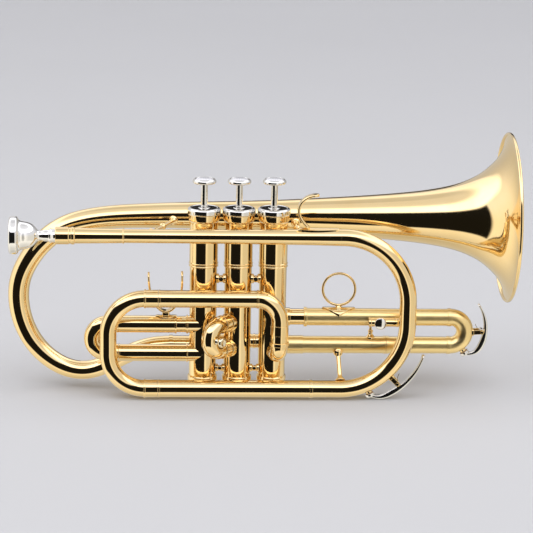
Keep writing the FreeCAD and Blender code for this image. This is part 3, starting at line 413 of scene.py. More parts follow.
def tube_data(P, T, ro, wall=0.5, n=56, ref=(0, 1, 0)):
    """Open tube with a wall: outside, inside and two ring ends."""
    ro = np.full(len(P), ro, float) if np.isscalar(ro) else np.asarray(ro, float)
    vo, fo = sweep_data(P, T, circle(n), ro, False, ref)
    vi, fi = sweep_data(P, T, circle(n), ro - wall, False, ref)
    k = len(vo)
    faces = fo + [[i + k for i in f][::-1] for f in fi]
    e = (len(P) - 1) * n
    for j in range(n):
        j2 = (j + 1) % n
        faces.append([j2, j, k + j, k + j2])
        faces.append([e + j, e + j2, k + e + j2, k + e + j])
    return np.vstack([vo, vi]), faces


def tube(name, segs, ro, mat, body="root", nodes=(), wall=0.5, extra=(), n=56, step=3.0):
    P, T = path(segs, step)
    parts = [tube_data(P, T, ro, wall, n)] + list(extra)
    ob = join(name, parts, mat, body)
    if nodes:
        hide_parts(*nodes)
    return ob


def ringband(ro, ri, p, d, h, r=0.25, seg=80):
    """Ferrule band round a tube."""
    return lathe_data(rounded([(0, ri), (0, ro), (h, ro), (h, ri)], r), p, d, seg)


def rodx(x0, x1, y, z):
    return [("L", (x0, y, z), (x1, y, z))]


def barrel(ro, ri, x0, x1, y, z, r=0.2):
    return lathe_data(rounded([(0, ri), (0, ro), (x1 - x0, ro), (x1 - x0, ri)], r), (x0, y, z), (1, 0, 0), 80)


def rrect(w, h, r, n=4):
    """Rounded rectangle outline, w across a and h across b."""
    pts = []
    for cx, cy, a0 in ((w / 2 - r, h / 2 - r, 0), (-w / 2 + r, h / 2 - r, 90), (-w / 2 + r, -h / 2 + r, 180), (w / 2 - r, -h / 2 + r, 270)):
        for j in range(n + 1):
            a = math.radians(a0 + 90 * j / n)
            pts.append((cx + r * math.cos(a), cy + r * math.sin(a)))
    return pts


def strip_data(pts, width, thick, y, n=60, ends=True, wscale=None, r=None, tscale=None):
    """Flat bar bent along a curve in an X-Z plane, with rounded edges and ends."""
    C = cubic([(x, z) for x, z in pts], n)
    P = np.array([(x, y, z) for x, z in C])
    T = np.gradient(P, axis=0)
    T = np.array([unit(t) for t in T])
    r = r if r is not None else thick * 0.45
    sc = []
    for i in range(n):
        u = i / (n - 1)
        s = 1.0
        if wscale:
            s = wscale(u)
        sc.append((s, tscale(u) if tscale else 1.0))
    if ends:
        L = np.linalg.norm(np.diff(P, axis=0), axis=1).sum()
        k = width / 2
        dist = np.concatenate([[0], np.cumsum(np.linalg.norm(np.diff(P, axis=0), axis=1))])
        for i in range(n):
            for dd in (dist[i], dist[-1] - dist[i]):
                if dd < k:
                    f = math.sqrt(max(0.04, 1 - (1 - dd / k) ** 2))
                    sc[i] = (sc[i][0] * f, sc[i][1] * (1.0 if f > 0.5 else 0.6 + 0.8 * f))
    return sweep_data(P, T, rrect(width, thick, r), sc, True, (0, 1, 0))


def box_data(lo, hi, r=0.3, n=3):
    """Rounded block: rounded outline in X-Y, with softened top and bottom edges."""
    lo, hi = np.array(lo, float), np.array(hi, float)
    w, d, h = hi - lo
    c = (lo + hi) / 2
    r = min(r, w * 0.45, d * 0.45, h * 0.45)
    rows = []
    for j in range(n + 1):
        a = math.radians(90 * j / n)
        rows.append((lo[2] + r - r * math.sin(a) if False else lo[2] + r * (1 - math.cos(math.radians(90) - a)) if False else lo[2] + r - r * math.cos(a), r - r * math.sin(a)))
    rows2 = [(hi[2] - (z - lo[2]), i) for z, i in rows][::-1]
    verts, faces = [], []
    outl = rrect(1, 1, 0.0, n)
    allr = rows + rows2
    m = 4 * (n + 1)
    for z, ins in allr:
        for a, b in rrect(w - 2 * ins, d - 2 * ins, max(r - ins, 0.02), n):
            verts.append((c[0] + a, c[1] + b, z))
    for i in range(len(allr) - 1):
        for k in range(m):
            k2 = (k + 1) % m
            faces.append([i * m + k, i * m + k2, (i + 1) * m + k2, (i + 1) * m + k])
    faces.append(list(range(m))[::-1])
    faces.append(list(range((len(allr) - 1) * m, len(allr) * m)))
    return np.array(verts), faces


def ball(c, r, seg=48):
    prof = [(-r * math.cos(math.radians(a)), r * math.sin(math.radians(a)) if 0 < a < 180 else 0.0) for a in range(0, 181, 6)]
    return lathe_data(prof, c, (0, 0, 1), seg, closed=False)


def torus_data(c, normal, R, r, n=120, m=28, squash=1.0):
    u, w, d = basis(normal)
    c = np.array(c, float)
    verts, faces = [], []
    for i in range(n):
        a = 2 * math.pi * i / n
        e = u * math.cos(a) + w * math.sin(a)
        for j in range(m):
            b = 2 * math.pi * j / m
            verts.append(c + e * (R + r * math.cos(b)) + d * r * squash * math.sin(b))
    for i in range(n):
        for j in range(m):
            i2, j2 = (i + 1) % n, (j + 1) % m
            faces.append([i * m + j, i2 * m + j, i2 * m + j2, i * m + j2])
    return np.array(verts), faces


# ------------------------------------------------------------------ bell
curve = cubic([(x, r) for x, r in BELL], 150)
inn = []
tg = np.gradient(curve, axis=0)
for (x, r), t in zip(curve, tg):
    t = unit(t)
    inn.append((x + t[1] * 0.6, r - t[0] * 0.6))
inn = [(x, r) for x, r in inn if x < -0.75]
bead = [(-1.6, 60.0), (-2.2, 60.15), (-2.5, 60.5), (-2.6, 60.9), (-2.48, 61.3), (-2.2, 61.62), (-1.8, 61.83), (-1.3, 61.9), (-0.8, 61.85), (-0.4, 61.7),
        (-0.12, 61.42), (0, 61.1), (0, 60.4), (-0.12, 60.0), (-0.45, 59.4)]
outer = [tuple(p) for p in curve[:-1]]
prof = outer + bead + [tuple(p) for p in inn[::-1]]
v, f = lathe_data(prof, (0, Y_BELL, 0), (1, 0, 0), 192)
ob = make("bell_flare", v, f, BRASS, "root", 50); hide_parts("bell")


def throat_brass():
    """The lacquered brass of the bell, turning duller and more scattering down the throat, by place along the bell."""
    m = BRASS.copy(); m.name = "lacquered_brass_throat"
    nt = m.node_tree; L = nt.links.new
    b = next(n for n in nt.nodes if n.type == "BSDF_PRINCIPLED")
    tc = add(nt, "ShaderNodeTexCoord"); sx = add(nt, "ShaderNodeSeparateXYZ"); L(tc.outputs["Object"], sx.inputs[0])
    k = add(nt, "ShaderNodeMapRange"); k.interpolation_type = "SMOOTHSTEP"
    k.inputs["From Min"].default_value = -0.010; k.inputs["From Max"].default_value = -0.058
    L(sx.outputs[0], k.inputs["Value"])
    me_ = add(nt, "ShaderNodeMath", operation="MULTIPLY_ADD"); L(k.outputs[0], me_.inputs[0]); me_.inputs[1].default_value = -0.62; me_.inputs[2].default_value = 1.0
    L(me_.outputs[0], b.inputs["Metallic"])
    ro_ = add(nt, "ShaderNodeMath", operation="MULTIPLY"); L(k.outputs[0], ro_.inputs[0]); ro_.inputs[1].default_value = 0.46
    mx = add(nt, "ShaderNodeMath", operation="MAXIMUM"); L(ro_.outputs[0], mx.inputs[0])
    if b.inputs["Roughness"].is_linked:
        L(b.inputs["Roughness"].links[0].from_socket, mx.inputs[1])
    else:
        mx.inputs[1].default_value = 0.08
    L(mx.outputs[0], b.inputs["Roughness"])
    return m


ob.data.materials.append(throat_brass())
for q in ob.data.polygons:
    c = q.center
    ry, rz = c[1] - (Y_BELL + SHIFT[1]) * 0.001, c[2] - SHIFT[2] * 0.001
    if q.normal[1] * ry + q.normal[2] * rz < -1e-9 and c[0] < -0.003:
        q.material_index = 1

C = cubic([b[:3] + (b[3],) for b in BOW], 220)
P = C[:, :3]
T = np.gradient(P, axis=0); T[0] = (-1, 0, 0); T[-1] = (1, 0, 0)
T = np.array([unit(t) for t in T])
vb, fb_ = tube_data(P, T, C[:, 3], 0.6, 72)
ob = join("bell_bow_tube", [(vb, fb_)], BRASS, "root"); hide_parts("bell_bow")

# ------------------------------------------------------------------ mouthpiece, receiver, leadpipe, front bow
shank = lambda x: 4.66 - 0.0255 * (x - X_MOUTH)
MP0, XS = -359.5, -304.5
mo = cubic([(0.9, 9.1), (0.25, 9.9), (0.0, 10.9), (0.12, 11.9), (0.6, 12.75), (1.5, 13.2), (2.6, 13.3)], 26)
mo2 = cubic([(4.9, 13.3), (5.6, 13.0), (6.1, 12.3), (6.6, 11.3), (7.6, 10.45), (9.2, 9.95), (11.5, 9.55), (13.5, 9.05), (15.5, 8.2), (17.2, 7.0), (18.5, 5.7),
             (19.4, 4.6), (20.2, 3.8), (21.2, 3.45), (22.6, 3.55), (24.0, 3.9), (25.2, 4.1), (26.6, 4.15), (27.8, 4.35)], 80)
mo3 = [(28.2, 4.9), (28.5, 5.05), (29.1, 5.05), (29.4, 4.9), (29.7, 4.72), (32.2, shank(X_MOUTH)), (XS - MP0, shank(XS)), (XS - MP0, 3.75), (45.0, 3.2), (34.0, 2.3), (27.0, 1.9)]
mo4 = cubic([(19.5, 1.9), (18.0, 2.0), (16.5, 2.5), (14.5, 3.5), (12.0, 5.3), (9.0, 7.0), (5.5, 8.15), (3.0, 8.5), (1.6, 8.75)], 40)
prof = [tuple(p) for p in mo] + [tuple(p) for p in mo2] + mo3 + [tuple(p) for p in mo4]
v, f = lathe_data(prof, (MP0, Y_LEAD, Z_LEAD), (1, 0, 0), 128)
ob = make("mouthpiece_turned", v, f, SILVER, "mouthpiece", 50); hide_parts("mouthpiece")

LR = X_REC_END - X_MOUTH
lathe("receiver_turned", [(0, shank(X_MOUTH) + 0.02), (22.8, shank(XS) + 0.02), (26.0, 4.40), (LR, 4.40), (LR, 5.35), (LR - 0.25, 5.5), (LR - 0.8, 5.5), (LR - 1.05, 5.3), (LR - 1.1, 5.1), (13.7, 5.60), (13.5, 5.95),
      (13.2, 6.2), (12.3, 6.3), (11.4, 6.2), (11.1, 5.85), (9.6, 5.85), (9.3, 6.2), (1.0, 6.2), (0.35, 6.05), (0, 5.6)],
      (X_MOUTH, Y_LEAD, Z_LEAD), (1, 0, 0), BRASS, nodes=["mouthpiece_receiver"])
L0 = -301.2
lathe("leadpipe_tube", [(0, 4.38), (X_REC_END - L0 - 0.05, 4.38), (X_REC_END - L0 + 0.02, 4.93), (-208.4 - L0, 5.12), (-148.6 - L0, 5.62),
      (X_BOW_START - L0, 6.12), (X_BOW_START - L0, R_BORE), (-148.6 - L0, 5.1), (-208.4 - L0, 4.6), (X_REC_END - L0, 4.1), (0, 4.02)],
      (L0, Y_LEAD, Z_LEAD), (1, 0, 0), BRASS, nodes=["leadpipe"], r=0.05)
zc_u, zc_l = Z_LEAD - BOW_R, Z_LOW + BOW_R
tube("front_bow_tube", [("L", (X_BOW_START, Y_LEAD, Z_LEAD), (X_BOW, Y_LEAD, Z_LEAD)),
     ("A", (X_BOW, Y_LEAD, Z_LEAD), (1, 0, 0), (X_BOW, Y_LEAD, zc_u), (0, 1, 0), 90),
     ("L", (X_BOW + BOW_R, Y_LEAD, zc_u), (X_BOW + BOW_R, Y_LEAD, zc_l)),
     ("A", (X_BOW + BOW_R, Y_LEAD, zc_l), (0, 0, -1), (X_BOW, Y_LEAD, zc_l), (0, 1, 0), 90),
     ("L", (X_BOW, Y_LEAD, Z_LOW), (X_FB_END, Y_LEAD, Z_LOW))], R_CROOK, BRASS, nodes=["front_bow"], step=1.5, n=72)
join("front_bow_band", [ringband(6.55, R_CROOK - 0.02, (X_FB_END + 0.02, Y_LEAD, Z_LOW), (1, 0, 0), 2.0, 0.5)], BRASS, "root")
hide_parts("front_bow_ferrule")

# ------------------------------------------------------------------ main tuning slide
ob = join("main_lower_tube", [barrel(R_OUT, R_BORE_OUT, X_MS, X_FB_END, Y_LEAD, Z_LOW, 0.1), ringband(6.55, R_OUT - 0.05, (X_MS, Y_LEAD, Z_LOW), (1, 0, 0), 1.2)], BRASS, "root")
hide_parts("main_slide_lower_tube")
ob = join("main_upper_tube", [barrel(R_OUT, R_BORE_OUT, X_MS, X_ELBOW, Y_LEAD, Z_UP, 0.1), ringband(6.55, R_OUT - 0.05, (X_MS, Y_LEAD, Z_UP), (1, 0, 0), 1.2)], BRASS, "root")
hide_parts("main_slide_upper_tube")
sd = np.array([V_X[2] - X_STUB, -Y_LEAD, 0.0]); sd_len = np.linalg.norm(sd); sd = sd / sd_len
Z_E, SR = -84.0, 8.2
ax_e = np.cross((0, 0, -1), sd)
zp = Z_E - SR
ob = tube("elbow_tube", [("L", (X_ELBOW, Y_LEAD, Z_UP), (X_STUB - ELBOW_R, Y_LEAD, Z_UP)),
     ("A", (X_STUB - ELBOW_R, Y_LEAD, Z_UP), (1, 0, 0), (X_STUB - ELBOW_R, Y_LEAD, Z_UP - ELBOW_R), (0, 1, 0), 90),
     ("L", (X_STUB, Y_LEAD, Z_UP - ELBOW_R), (X_STUB, Y_LEAD, Z_E)),
     ("A", (X_STUB, Y_LEAD, Z_E), (0, 0, -1), (X_STUB + sd[0] * SR, Y_LEAD + sd[1] * SR, Z_E), tuple(ax_e), 90),
     ("L", (X_STUB + sd[0] * SR, Y_LEAD + sd[1] * SR, zp), (X_STUB + sd[0] * (sd_len - 8.6), Y_LEAD + sd[1] * (sd_len - 8.6), zp))],
     R_CROOK, BRASS, nodes=["third_valve_elbow"], n=64, extra=[
     ringband(6.6, R_CROOK - 0.05, (X_ELBOW, Y_LEAD, Z_UP), (1, 0, 0), 1.3, 0.4),
     ringband(6.42, R_CROOK - 0.05, (X_STUB, Y_LEAD, -76.4), (0, 0, 1), 7.1, 0.2),
     ringband(6.9, R_CROOK - 0.05, (X_STUB, Y_LEAD, -84.4), (0, 0, 1), 2.6, 0.9)])
zu, zl, xq = Z_UP - CROOK_R, Z_LOW + CROOK_R, X_MS - 0.25
ex = []
for z in (Z_UP, Z_LOW):
    ex += [ringband(6.35, R_CROOK - 0.2, (X_CROOK - 0.3, Y_LEAD, z), (1, 0, 0), xq - X_CROOK + 0.3, 0.2),
           ringband(6.75, R_CROOK - 0.2, (X_CROOK - 0.6, Y_LEAD, z), (1, 0, 0), 1.3, 0.5)]
tube("main_crook_tube", [("L", (xq, Y_LEAD, Z_UP), (X_CROOK, Y_LEAD, Z_UP)),
     ("A", (X_CROOK, Y_LEAD, Z_UP), (-1, 0, 0), (X_CROOK, Y_LEAD, zu), (0, -1, 0), 90),
     ("L", (X_CROOK - CROOK_R, Y_LEAD, zu), (X_CROOK - CROOK_R, Y_LEAD, zl)),
     ("A", (X_CROOK - CROOK_R, Y_LEAD, zl), (0, 0, -1), (X_CROOK, Y_LEAD, zl), (0, -1, 0), 90),
     ("L", (X_CROOK, Y_LEAD, Z_LOW), (xq, Y_LEAD, Z_LOW))], R_CROOK - 0.12, BRASS, "main_slide", ["main_slide_crook"], extra=ex, step=2.0, n=64)
ob = join("main_inner_legs", [barrel(R_LEG, R_BORE, xq, -189.5, Y_LEAD, Z_UP), barrel(R_LEG, R_BORE, xq, -180.0, Y_LEAD, Z_LOW)], NICKEL, "main_slide")
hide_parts("main_slide_legs")

# ------------------------------------------------------------------ valves
for i, x in enumerate(V_X):
    n = i + 1
    prof = [(0, 8.48), (0, 9.8), (85.0, 9.8), (85.0, 10.35), (85.2, 10.55), (85.7, 10.55), (85.9, 10.3), (86.2, 10.15), (86.8, 10.15), (87.0, 10.3), (87.2, 10.55),
            (87.7, 10.55), (87.9, 10.3), (88.1, 10.15), (117.0, 10.15), (117.6, 10.2), (118.6, 11.0), (122.5, 11.0), (123.0, 10.8), (123.0, 8.48)]
    lathe("valve_%d_case_body" % n, prof, (x, 0, Z_CAS_BOT), (0, 0, 1), BRASS, nodes=["valve_%d_casing" % n], r=0.12)
sp = []
for i in (0, 1):
    xa, xb = V_X[i], V_X[i + 1]
    xm = (xa + xb) / 2
    h = xb - xa - 2 * 8.9
    sp.append(lathe_data(rounded([(0, 4.6), (0, 5.1), (5.2, 5.1), (5.5, 5.45), (6.6, 5.45), (6.9, 5.1), (12.1, 5.1), (12.1, 4.6)], 0.15), (xm - 6.05, 4.6, -88.0), (1, 0, 0), 64))
    for zs, R in ((-39.4, 3.5), (-105.6, 2.9)):
        sp.append(lathe_data(rounded([(0, 0), (0, R), (1.9, R), (2.5, R * 0.72), (h / 2 - 0.9, R * 0.52), (h / 2 - 0.7, R * 0.66), (h / 2 + 0.7, R * 0.66), (h / 2 + 0.9, R * 0.52),
                                      (h - 2.5, R * 0.72), (h - 1.9, R), (h, R), (h, 0)], 0.25), (xa + 8.9, -3.6, zs), (1, 0, 0), 48))
        sp.append(lathe_data(rounded([(0, 0), (0, R * 0.5), (0.4, R * 0.62), (2.0, R * 0.62), (2.0, 0)], 0.3), (xm, -3.6 - R * 0.98, zs), (0, 1, 0), 36))
ob = join("casing_crossovers", sp, BRASS, "root"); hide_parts("valve_crossovers")
tops, botts = [], []
for x in V_X:
    prof = [(0, 8.3), (0, 11.2), (0.25, 11.7), (0.7, 11.9), (2.6, 11.9), (3.5, 11.7), (4.15, 11.2), (4.5, 10.5), (4.62, 9.8), (4.45, 9.45), (4.3, 9.2), (4.3, 4.2), (4.45, 4.0), (4.7, 3.8), (4.7, 2.75), (2.6, 2.75), (2.6, 8.3)]
    tops.append(lathe_data(rounded(prof, 0.25), (x, 0, Z_CAS_TOP), (0, 0, 1), 96))
    prof = [(0, 1.5), (-0.0, 4.0), (0.35, 4.6), (0.35, 7.2), (0.1, 7.6), (0.1, 8.8), (0.7, 9.9), (1.7, 10.5), (3.4, 10.7), (4.6, 10.7), (4.7, 10.45), (5.0, 10.45), (5.1, 10.7), (8.6, 10.7),
            (9.1, 10.5), (9.6, 10.1), (9.6, 9.82), (5.0, 9.82), (5.0, 8.3), (1.5, 8.3), (1.5, 1.5)]
    botts.append(lathe_data(rounded(prof, 0.15), (x, 0, Z_BOTTOM), (0, 0, 1), 96))
ob = join("valve_cap_tops", tops, NICKEL, "root"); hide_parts("valve_top_caps")
ob = join("valve_cap_bottoms", botts, BRASS, "root"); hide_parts("valve_bottom_caps")
for i, x in enumerate(V_X):
    n, b = i + 1, "valve_%d" % (i + 1)
    prof = [(0, 0), (0, 2.4), (38.2, 2.4), (38.35, 2.6), (38.42, 3.4), (38.55, 5.0), (38.75, 6.8), (39.1, 7.7), (39.6, 8.2), (40.1, 8.35), (40.7, 8.33), (41.3, 8.1),
            (41.8, 7.7), (42.15, 7.25), (42.38, 6.85), (42.42, 6.55), (42.25, 6.35), (41.9, 6.3), (41.6, 6.3), (41.6, 0)]
    v, f = lathe_data(rounded(prof, 0.2), (x, 0, Z_PIST_TOP), (0, 0, 1), 96)
    ob = make("finger_button_%d" % n, v, f, NICKEL, b, 50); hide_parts("valve_%d_button" % n)
    dome = [(0, 0), (0, 6.26), (0.35, 6.26)] + [(0.35 + 1.1 * math.sin(math.radians(a)), 6.1 * math.cos(math.radians(a)) ** 0.8) for a in range(6, 90, 7)] + [(1.45, 0)]
    v, f = lathe_data(dome, (x, 0, Z_PIST_TOP + 41.6), (0, 0, 1), 72)
    ob = make("pearl_inlay_%d" % n, v, f, PEARL, b, 60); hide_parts("valve_%d_pearl" % n)

def to_casing(part, xc, s, xend, R=9.8):
    """Stretch the last rings of a tube along X until they meet the wall of the casing at xc."""
    v = np.array(part[0], float)
    m = np.abs(v[:, 0] - xend) < 0.9
    v[m, 0] += xc + s * np.sqrt(np.maximum(R * R - v[m, 1] ** 2, 0.8)) - xend - s * 0.3
    return v, part[1]


# ------------------------------------------------------------------ first slide
ob = join("first_fixed_leg", [barrel(R_LEG, R_BORE, -281.0, -234.0, Y_S1, Z1U), to_casing(barrel(R_OUT, R_LEG - 0.05, -235.2, -231.6, Y_S1, Z1U), V_X[0], -1, -231.6),
      ringband(6.75, R_OUT - 0.05, (-234.6, Y_S1, Z1U), (1, 0, 0), 1.0, 0.4)], BRASS, "root")
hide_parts("first_slide_fixed_leg")
ob = join("first_lower_tube", [to_casing(barrel(R_OUT, R_BORE_OUT, X1_OUT, -231.6, Y_S1, Z1L), V_X[0], -1, -231.6), ringband(6.5, R_OUT - 0.05, (X1_OUT, Y_S1, Z1L), (1, 0, 0), 1.0, 0.3),
      ringband(6.75, R_OUT - 0.05, (-234.6, Y_S1, Z1L), (1, 0, 0), 1.0, 0.4)], BRASS, "root")
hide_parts("first_slide_lower_tube")
R1, x1q = (Z1U - Z1L) / 2, X1_OUT - 0.25
tube("first_crook_tube", [("L", (x1q, Y_S1, Z1U), (X1_BEND, Y_S1, Z1U)),
     ("A", (X1_BEND, Y_S1, Z1U), (-1, 0, 0), (X1_BEND, Y_S1, Z1U - R1), (0, -1, 0), 180),
     ("L", (X1_BEND, Y_S1, Z1L), (x1q, Y_S1, Z1L))], R_CROOK - 0.05, BRASS, "first_slide", ["first_slide_crook"], extra=[
     ringband(6.3, R_CROOK - 0.1, (X1_BEND + 3.0, Y_S1, Z1U), (1, 0, 0), x1q - X1_BEND - 3.0), ringband(6.45, R_CROOK - 0.1, (X1_BEND + 3.0, Y_S1, Z1L), (1, 0, 0), x1q - X1_BEND - 3.0)])
ob = join("first_sleeve_tube", [barrel(R_OUT, R_BORE_OUT, x1q, -241.7, Y_S1, Z1U), ringband(6.75, R_OUT - 0.05, (-243.0, Y_S1, Z1U), (1, 0, 0), 1.3, 0.5)], BRASS, "first_slide")
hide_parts("first_slide_sleeve")
ob = join("first_inner_leg", [barrel(R_LEG, R_BORE, x1q, -236.5, Y_S1, Z1L)], NICKEL, "first_slide"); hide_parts("first_slide_leg")
sad = strip_data([(-261.9, -35.2), (-261.7, -42.0), (-260.6, -49.5), (-257.8, -57.2), (-253.4, -62.3), (-249.4, -63.8),
                  (-245.4, -62.3), (-241.2, -57.2), (-238.7, -49.5), (-238.0, -42.0), (-238.1, -34.4)], 7.9, 1.5, Y_S1, 110)
foot = box_data((-252.0, Y_S1 - 3.2, -67.0), (-246.8, Y_S1 + 3.2, -63.6), 0.8)


def saddle_plate(x0, x1, y, z, R, half, th, n=24, m=20, taper=None):
    """Curved plate lying on a tube along X: spans 'half' degrees each side of the top."""
    verts, faces = [], []
    for i in range(n + 1):
        u = i / n
        x = x0 + (x1 - x0) * u
        hw = half * (taper(u) if taper else 1.0)
        e = min(u, 1 - u) * (x1 - x0)
        dr = th * (1.0 if e > 0.5 else 0.35 + 0.65 * e / 0.5)
        for j in range(m + 1):
            a = math.radians(hw * (2 * j / m - 1))
            q = 1 - abs(2 * j / m - 1)
            d2 = dr * (1.0 if q > 0.12 else 0.4 + 0.6 * q / 0.12)
            verts.append((x, y + (R + d2) * math.sin(a), z + (R + d2) * math.cos(a)))
        for j in range(m + 1):
            a = math.radians(hw * (2 * j / m - 1))
            verts.append((x, y + (R - 0.05) * math.sin(a), z + (R - 0.05) * math.cos(a)))
    k = 2 * (m + 1)
    for i in range(n):
        for j in range(m):
            faces.append([i * k + j, (i + 1) * k + j, (i + 1) * k + j + 1, i * k + j + 1][::-1])
            faces.append([i * k + m + 1 + j, i * k + m + 2 + j, (i + 1) * k + m + 2 + j, (i + 1) * k + m + 1 + j][::-1])
        faces.append([i * k, i * k + m + 1, (i + 1) * k + m + 1, (i + 1) * k][::-1])
        faces.append([i * k + m, (i + 1) * k + m, (i + 1) * k + 2 * m + 1, i * k + 2 * m + 1][::-1])
    faces.append([j for j in range(m + 1)] + [m + 1 + j for j in range(m, -1, -1)])
    o = n * k
    faces.append(([o + j for j in range(m + 1)] + [o + m + 1 + j for j in range(m, -1, -1)])[::-1])
    return np.array(verts), faces


plate = saddle_plate(-256.8, -242.2, Y_S1, Z1U, R_OUT, 34.0, 0.65, 40, 20, taper=lambda u: 0.45 + 0.55 * math.sin(math.pi * u))
ob = join("thumb_saddle", [sad, foot, plate], BRASS, "first_slide"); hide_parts("first_slide_saddle")

# ------------------------------------------------------------------ second slide
s2 = np.array([-math.sin(math.radians(S2_ANGLE)), -math.cos(math.radians(S2_ANGLE)), 0.0])
n2 = np.array([-s2[1], s2[0], 0.0])


def p2(d, z, off=0.0):
    return np.array([V_X[1], 0, z]) + s2 * d + n2 * off


parts = []
for z in (Z2U, Z2L):
    parts.append(lathe_data(rounded([(0, R_BORE_OUT), (0, R_OUT), (L2_OUT - 7.6, R_OUT), (L2_OUT - 7.6, R_BORE_OUT)], 0.1), p2(7.6, z), s2, 72))
    parts.append(ringband(6.6, R_OUT - 0.05, p2(L2_OUT - 1.2, z), s2, 1.2, 0.3))
    parts.append(ringband(6.75, R_OUT - 0.05, p2(7.6, z), s2, 3.6, 0.6))
ob = join("second_outer_tubes", parts, BRASS, "root"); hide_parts("second_slide_tubes")
R2 = (Z2U - Z2L) / 2
ax2 = np.cross(s2, (0, 0, -1))
tube("second_crook_tube", [("L", p2(L2_OUT + 0.2, Z2U), p2(L2_BEND, Z2U)), ("A", p2(L2_BEND, Z2U), s2, p2(L2_BEND, Z2U - R2), ax2, 180),
     ("L", p2(L2_BEND, Z2L), p2(L2_OUT + 0.2, Z2L))], R_CROOK, BRASS, "second_slide", ["second_slide_crook"])
ob = join("second_inner_legs", [lathe_data(rounded([(0, R_BORE), (0, R_LEG), (L2_OUT + 0.2 - 10.6, R_LEG), (L2_OUT + 0.2 - 10.6, R_BORE)], 0.1), p2(10.6, z), s2, 72) for z in (Z2U, Z2L)], NICKEL, "second_slide")
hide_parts("second_slide_legs")
kd = -n2 if n2[0] < 0 else n2
kp = p2(L2_BEND + R2 - 1.2, (Z2U + Z2L) / 2) + kd * 5.2
lathe("second_pull_knob", [(0.3, 0), (0.3, 2.7), (1.2, 2.4), (2.0, 1.85), (2.7, 1.7), (3.3, 1.95), (3.8, 2.9), (4.4, 3.5), (5.2, 3.7), (6.1, 3.55), (6.7, 3.1), (6.95, 2.5), (6.8, 1.9), (6.45, 1.4), (6.3, 0)],
      kp, kd, KNOB, "second_slide", ["second_slide_knob"], 0.3, 64)

# ------------------------------------------------------------------ third slide
ob = join("third_fixed_leg", [barrel(R_LEG, R_BORE, -163.8, -92.5, Y_S3, Z3U), ringband(6.5, R_LEG - 0.05, (-163.6, Y_S3, Z3U), (1, 0, 0), 3.4, 0.4)], BRASS, "root")
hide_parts("third_slide_fixed_leg")
ob = join("third_lower_outer", [barrel(R_OUT, R_BORE_OUT, -163.8, X3_OUT, Y_S3, Z3L), ringband(6.6, R_OUT - 0.05, (-163.6, Y_S3, Z3L), (1, 0, 0), 13.3, 0.3),
      ringband(6.6, R_OUT - 0.05, (X3_OUT - 1.2, Y_S3, Z3L), (1, 0, 0), 1.2, 0.3)], SATIN, "root"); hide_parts("third_slide_lower_tube")
x3q, R3 = X3_OUT + 0.25, (Z3U - Z3L) / 2
ob = join("third_sleeve_tube", [barrel(R_OUT + 0.05, R_BORE_OUT, X3_SLEEVE, x3q, Y_S3, Z3U), ringband(7.05, R_OUT, (X3_SLEEVE, Y_S3, Z3U), (1, 0, 0), 2.2, 0.9)], SATIN, "third_slide")
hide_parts("third_slide_sleeve")
tube("third_crook_tube", [("L", (x3q, Y_S3, Z3U), (X3_BEND, Y_S3, Z3U)), ("A", (X3_BEND, Y_S3, Z3U), (1, 0, 0), (X3_BEND, Y_S3, Z3U - R3), (0, 1, 0), 180),
     ("L", (X3_BEND, Y_S3, Z3L), (x3q, Y_S3, Z3L))], R_CROOK, SATIN, "third_slide", ["third_slide_crook"], extra=[
     ringband(6.5, R_CROOK - 0.05, (X3_BEND - 2.6, Y_S3, Z3U), (1, 0, 0), 2.6, 0.4), ringband(6.5, R_CROOK - 0.05, (X3_BEND - 2.6, Y_S3, Z3L), (1, 0, 0), 2.6, 0.4),
     ringband(6.5, R_CROOK - 0.05, (x3q, Y_S3, Z3L), (1, 0, 0), 2.2, 0.4)])
ob = join("third_inner_leg", [barrel(R_LEG, R_BORE, -156.0, x3q, Y_S3, Z3L)], NICKEL, "third_slide"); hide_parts("third_slide_leg")
dia = saddle_plate(-137.2, -113.2, Y_S3, Z3U, R_OUT + 0.05, 74.0, 1.05, 40, 20, taper=lambda u: max(0.06, 1 - abs(2 * u - 1)) ** 0.85)
ringp = torus_data((-125.2, Y_S3, -48.3), (0, 1, 0), 11.65, 0.93)
stem = lathe_data(rounded([(0, 0), (0, 4.2), (0.5, 4.3), (1.1, 3.4), (2.0, 2.3), (3.0, 1.75), (3.6, 1.6), (3.6, 0)], 0.3), (-125.2, Y_S3, -63.2), (0, 0, 1), 40)
ob = join("finger_ring_wire", [ringp, stem, dia], BRASS, "third_slide"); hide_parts("finger_ring")
ZS, YS = -70.4, Y_S3 - R_OUT - 0.05 - 2.95
soc = lathe_data(rounded([(0, 2.2), (0, 3.25), (1.6, 3.25), (1.9, 3.0), (19.7, 3.0), (20.0, 3.25), (21.6, 3.25), (21.6, 2.2)], 0.25), (-104.0, YS, ZS), (1, 0, 0), 56)
pad = box_data((-102.2, YS + 2.3, ZS - 1.0), (-84.2, YS + 3.5, ZS + 2.4), 0.4)
boss = lathe_data(rounded([(0, 1.0), (0, 1.9), (1.4, 2.1), (1.4, 1.0)], 0.2), (-95.8, YS - 3.15, ZS), (0, 1, 0), 36)
ob = join("lyre_socket_tube", [soc, pad], BRASS, "third_slide"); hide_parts("lyre_socket")


stud = lathe_data(rounded([(0, 0), (0, 3.6), (1.3, 3.3), (2.0, 2.5), (3.0, 1.7), (4.4, 1.45), (5.0, 1.9), (5.8, 1.9), (6.2, 1.2), (7.9, 1.0), (8.1, 0.7), (8.1, 0)], 0.3), (-101.6, Y_S3, -84.6), (0, 0, 1), 48)
ob = join("third_stop_stud", [stud], BRASS, "root"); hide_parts("third_slide_stop")


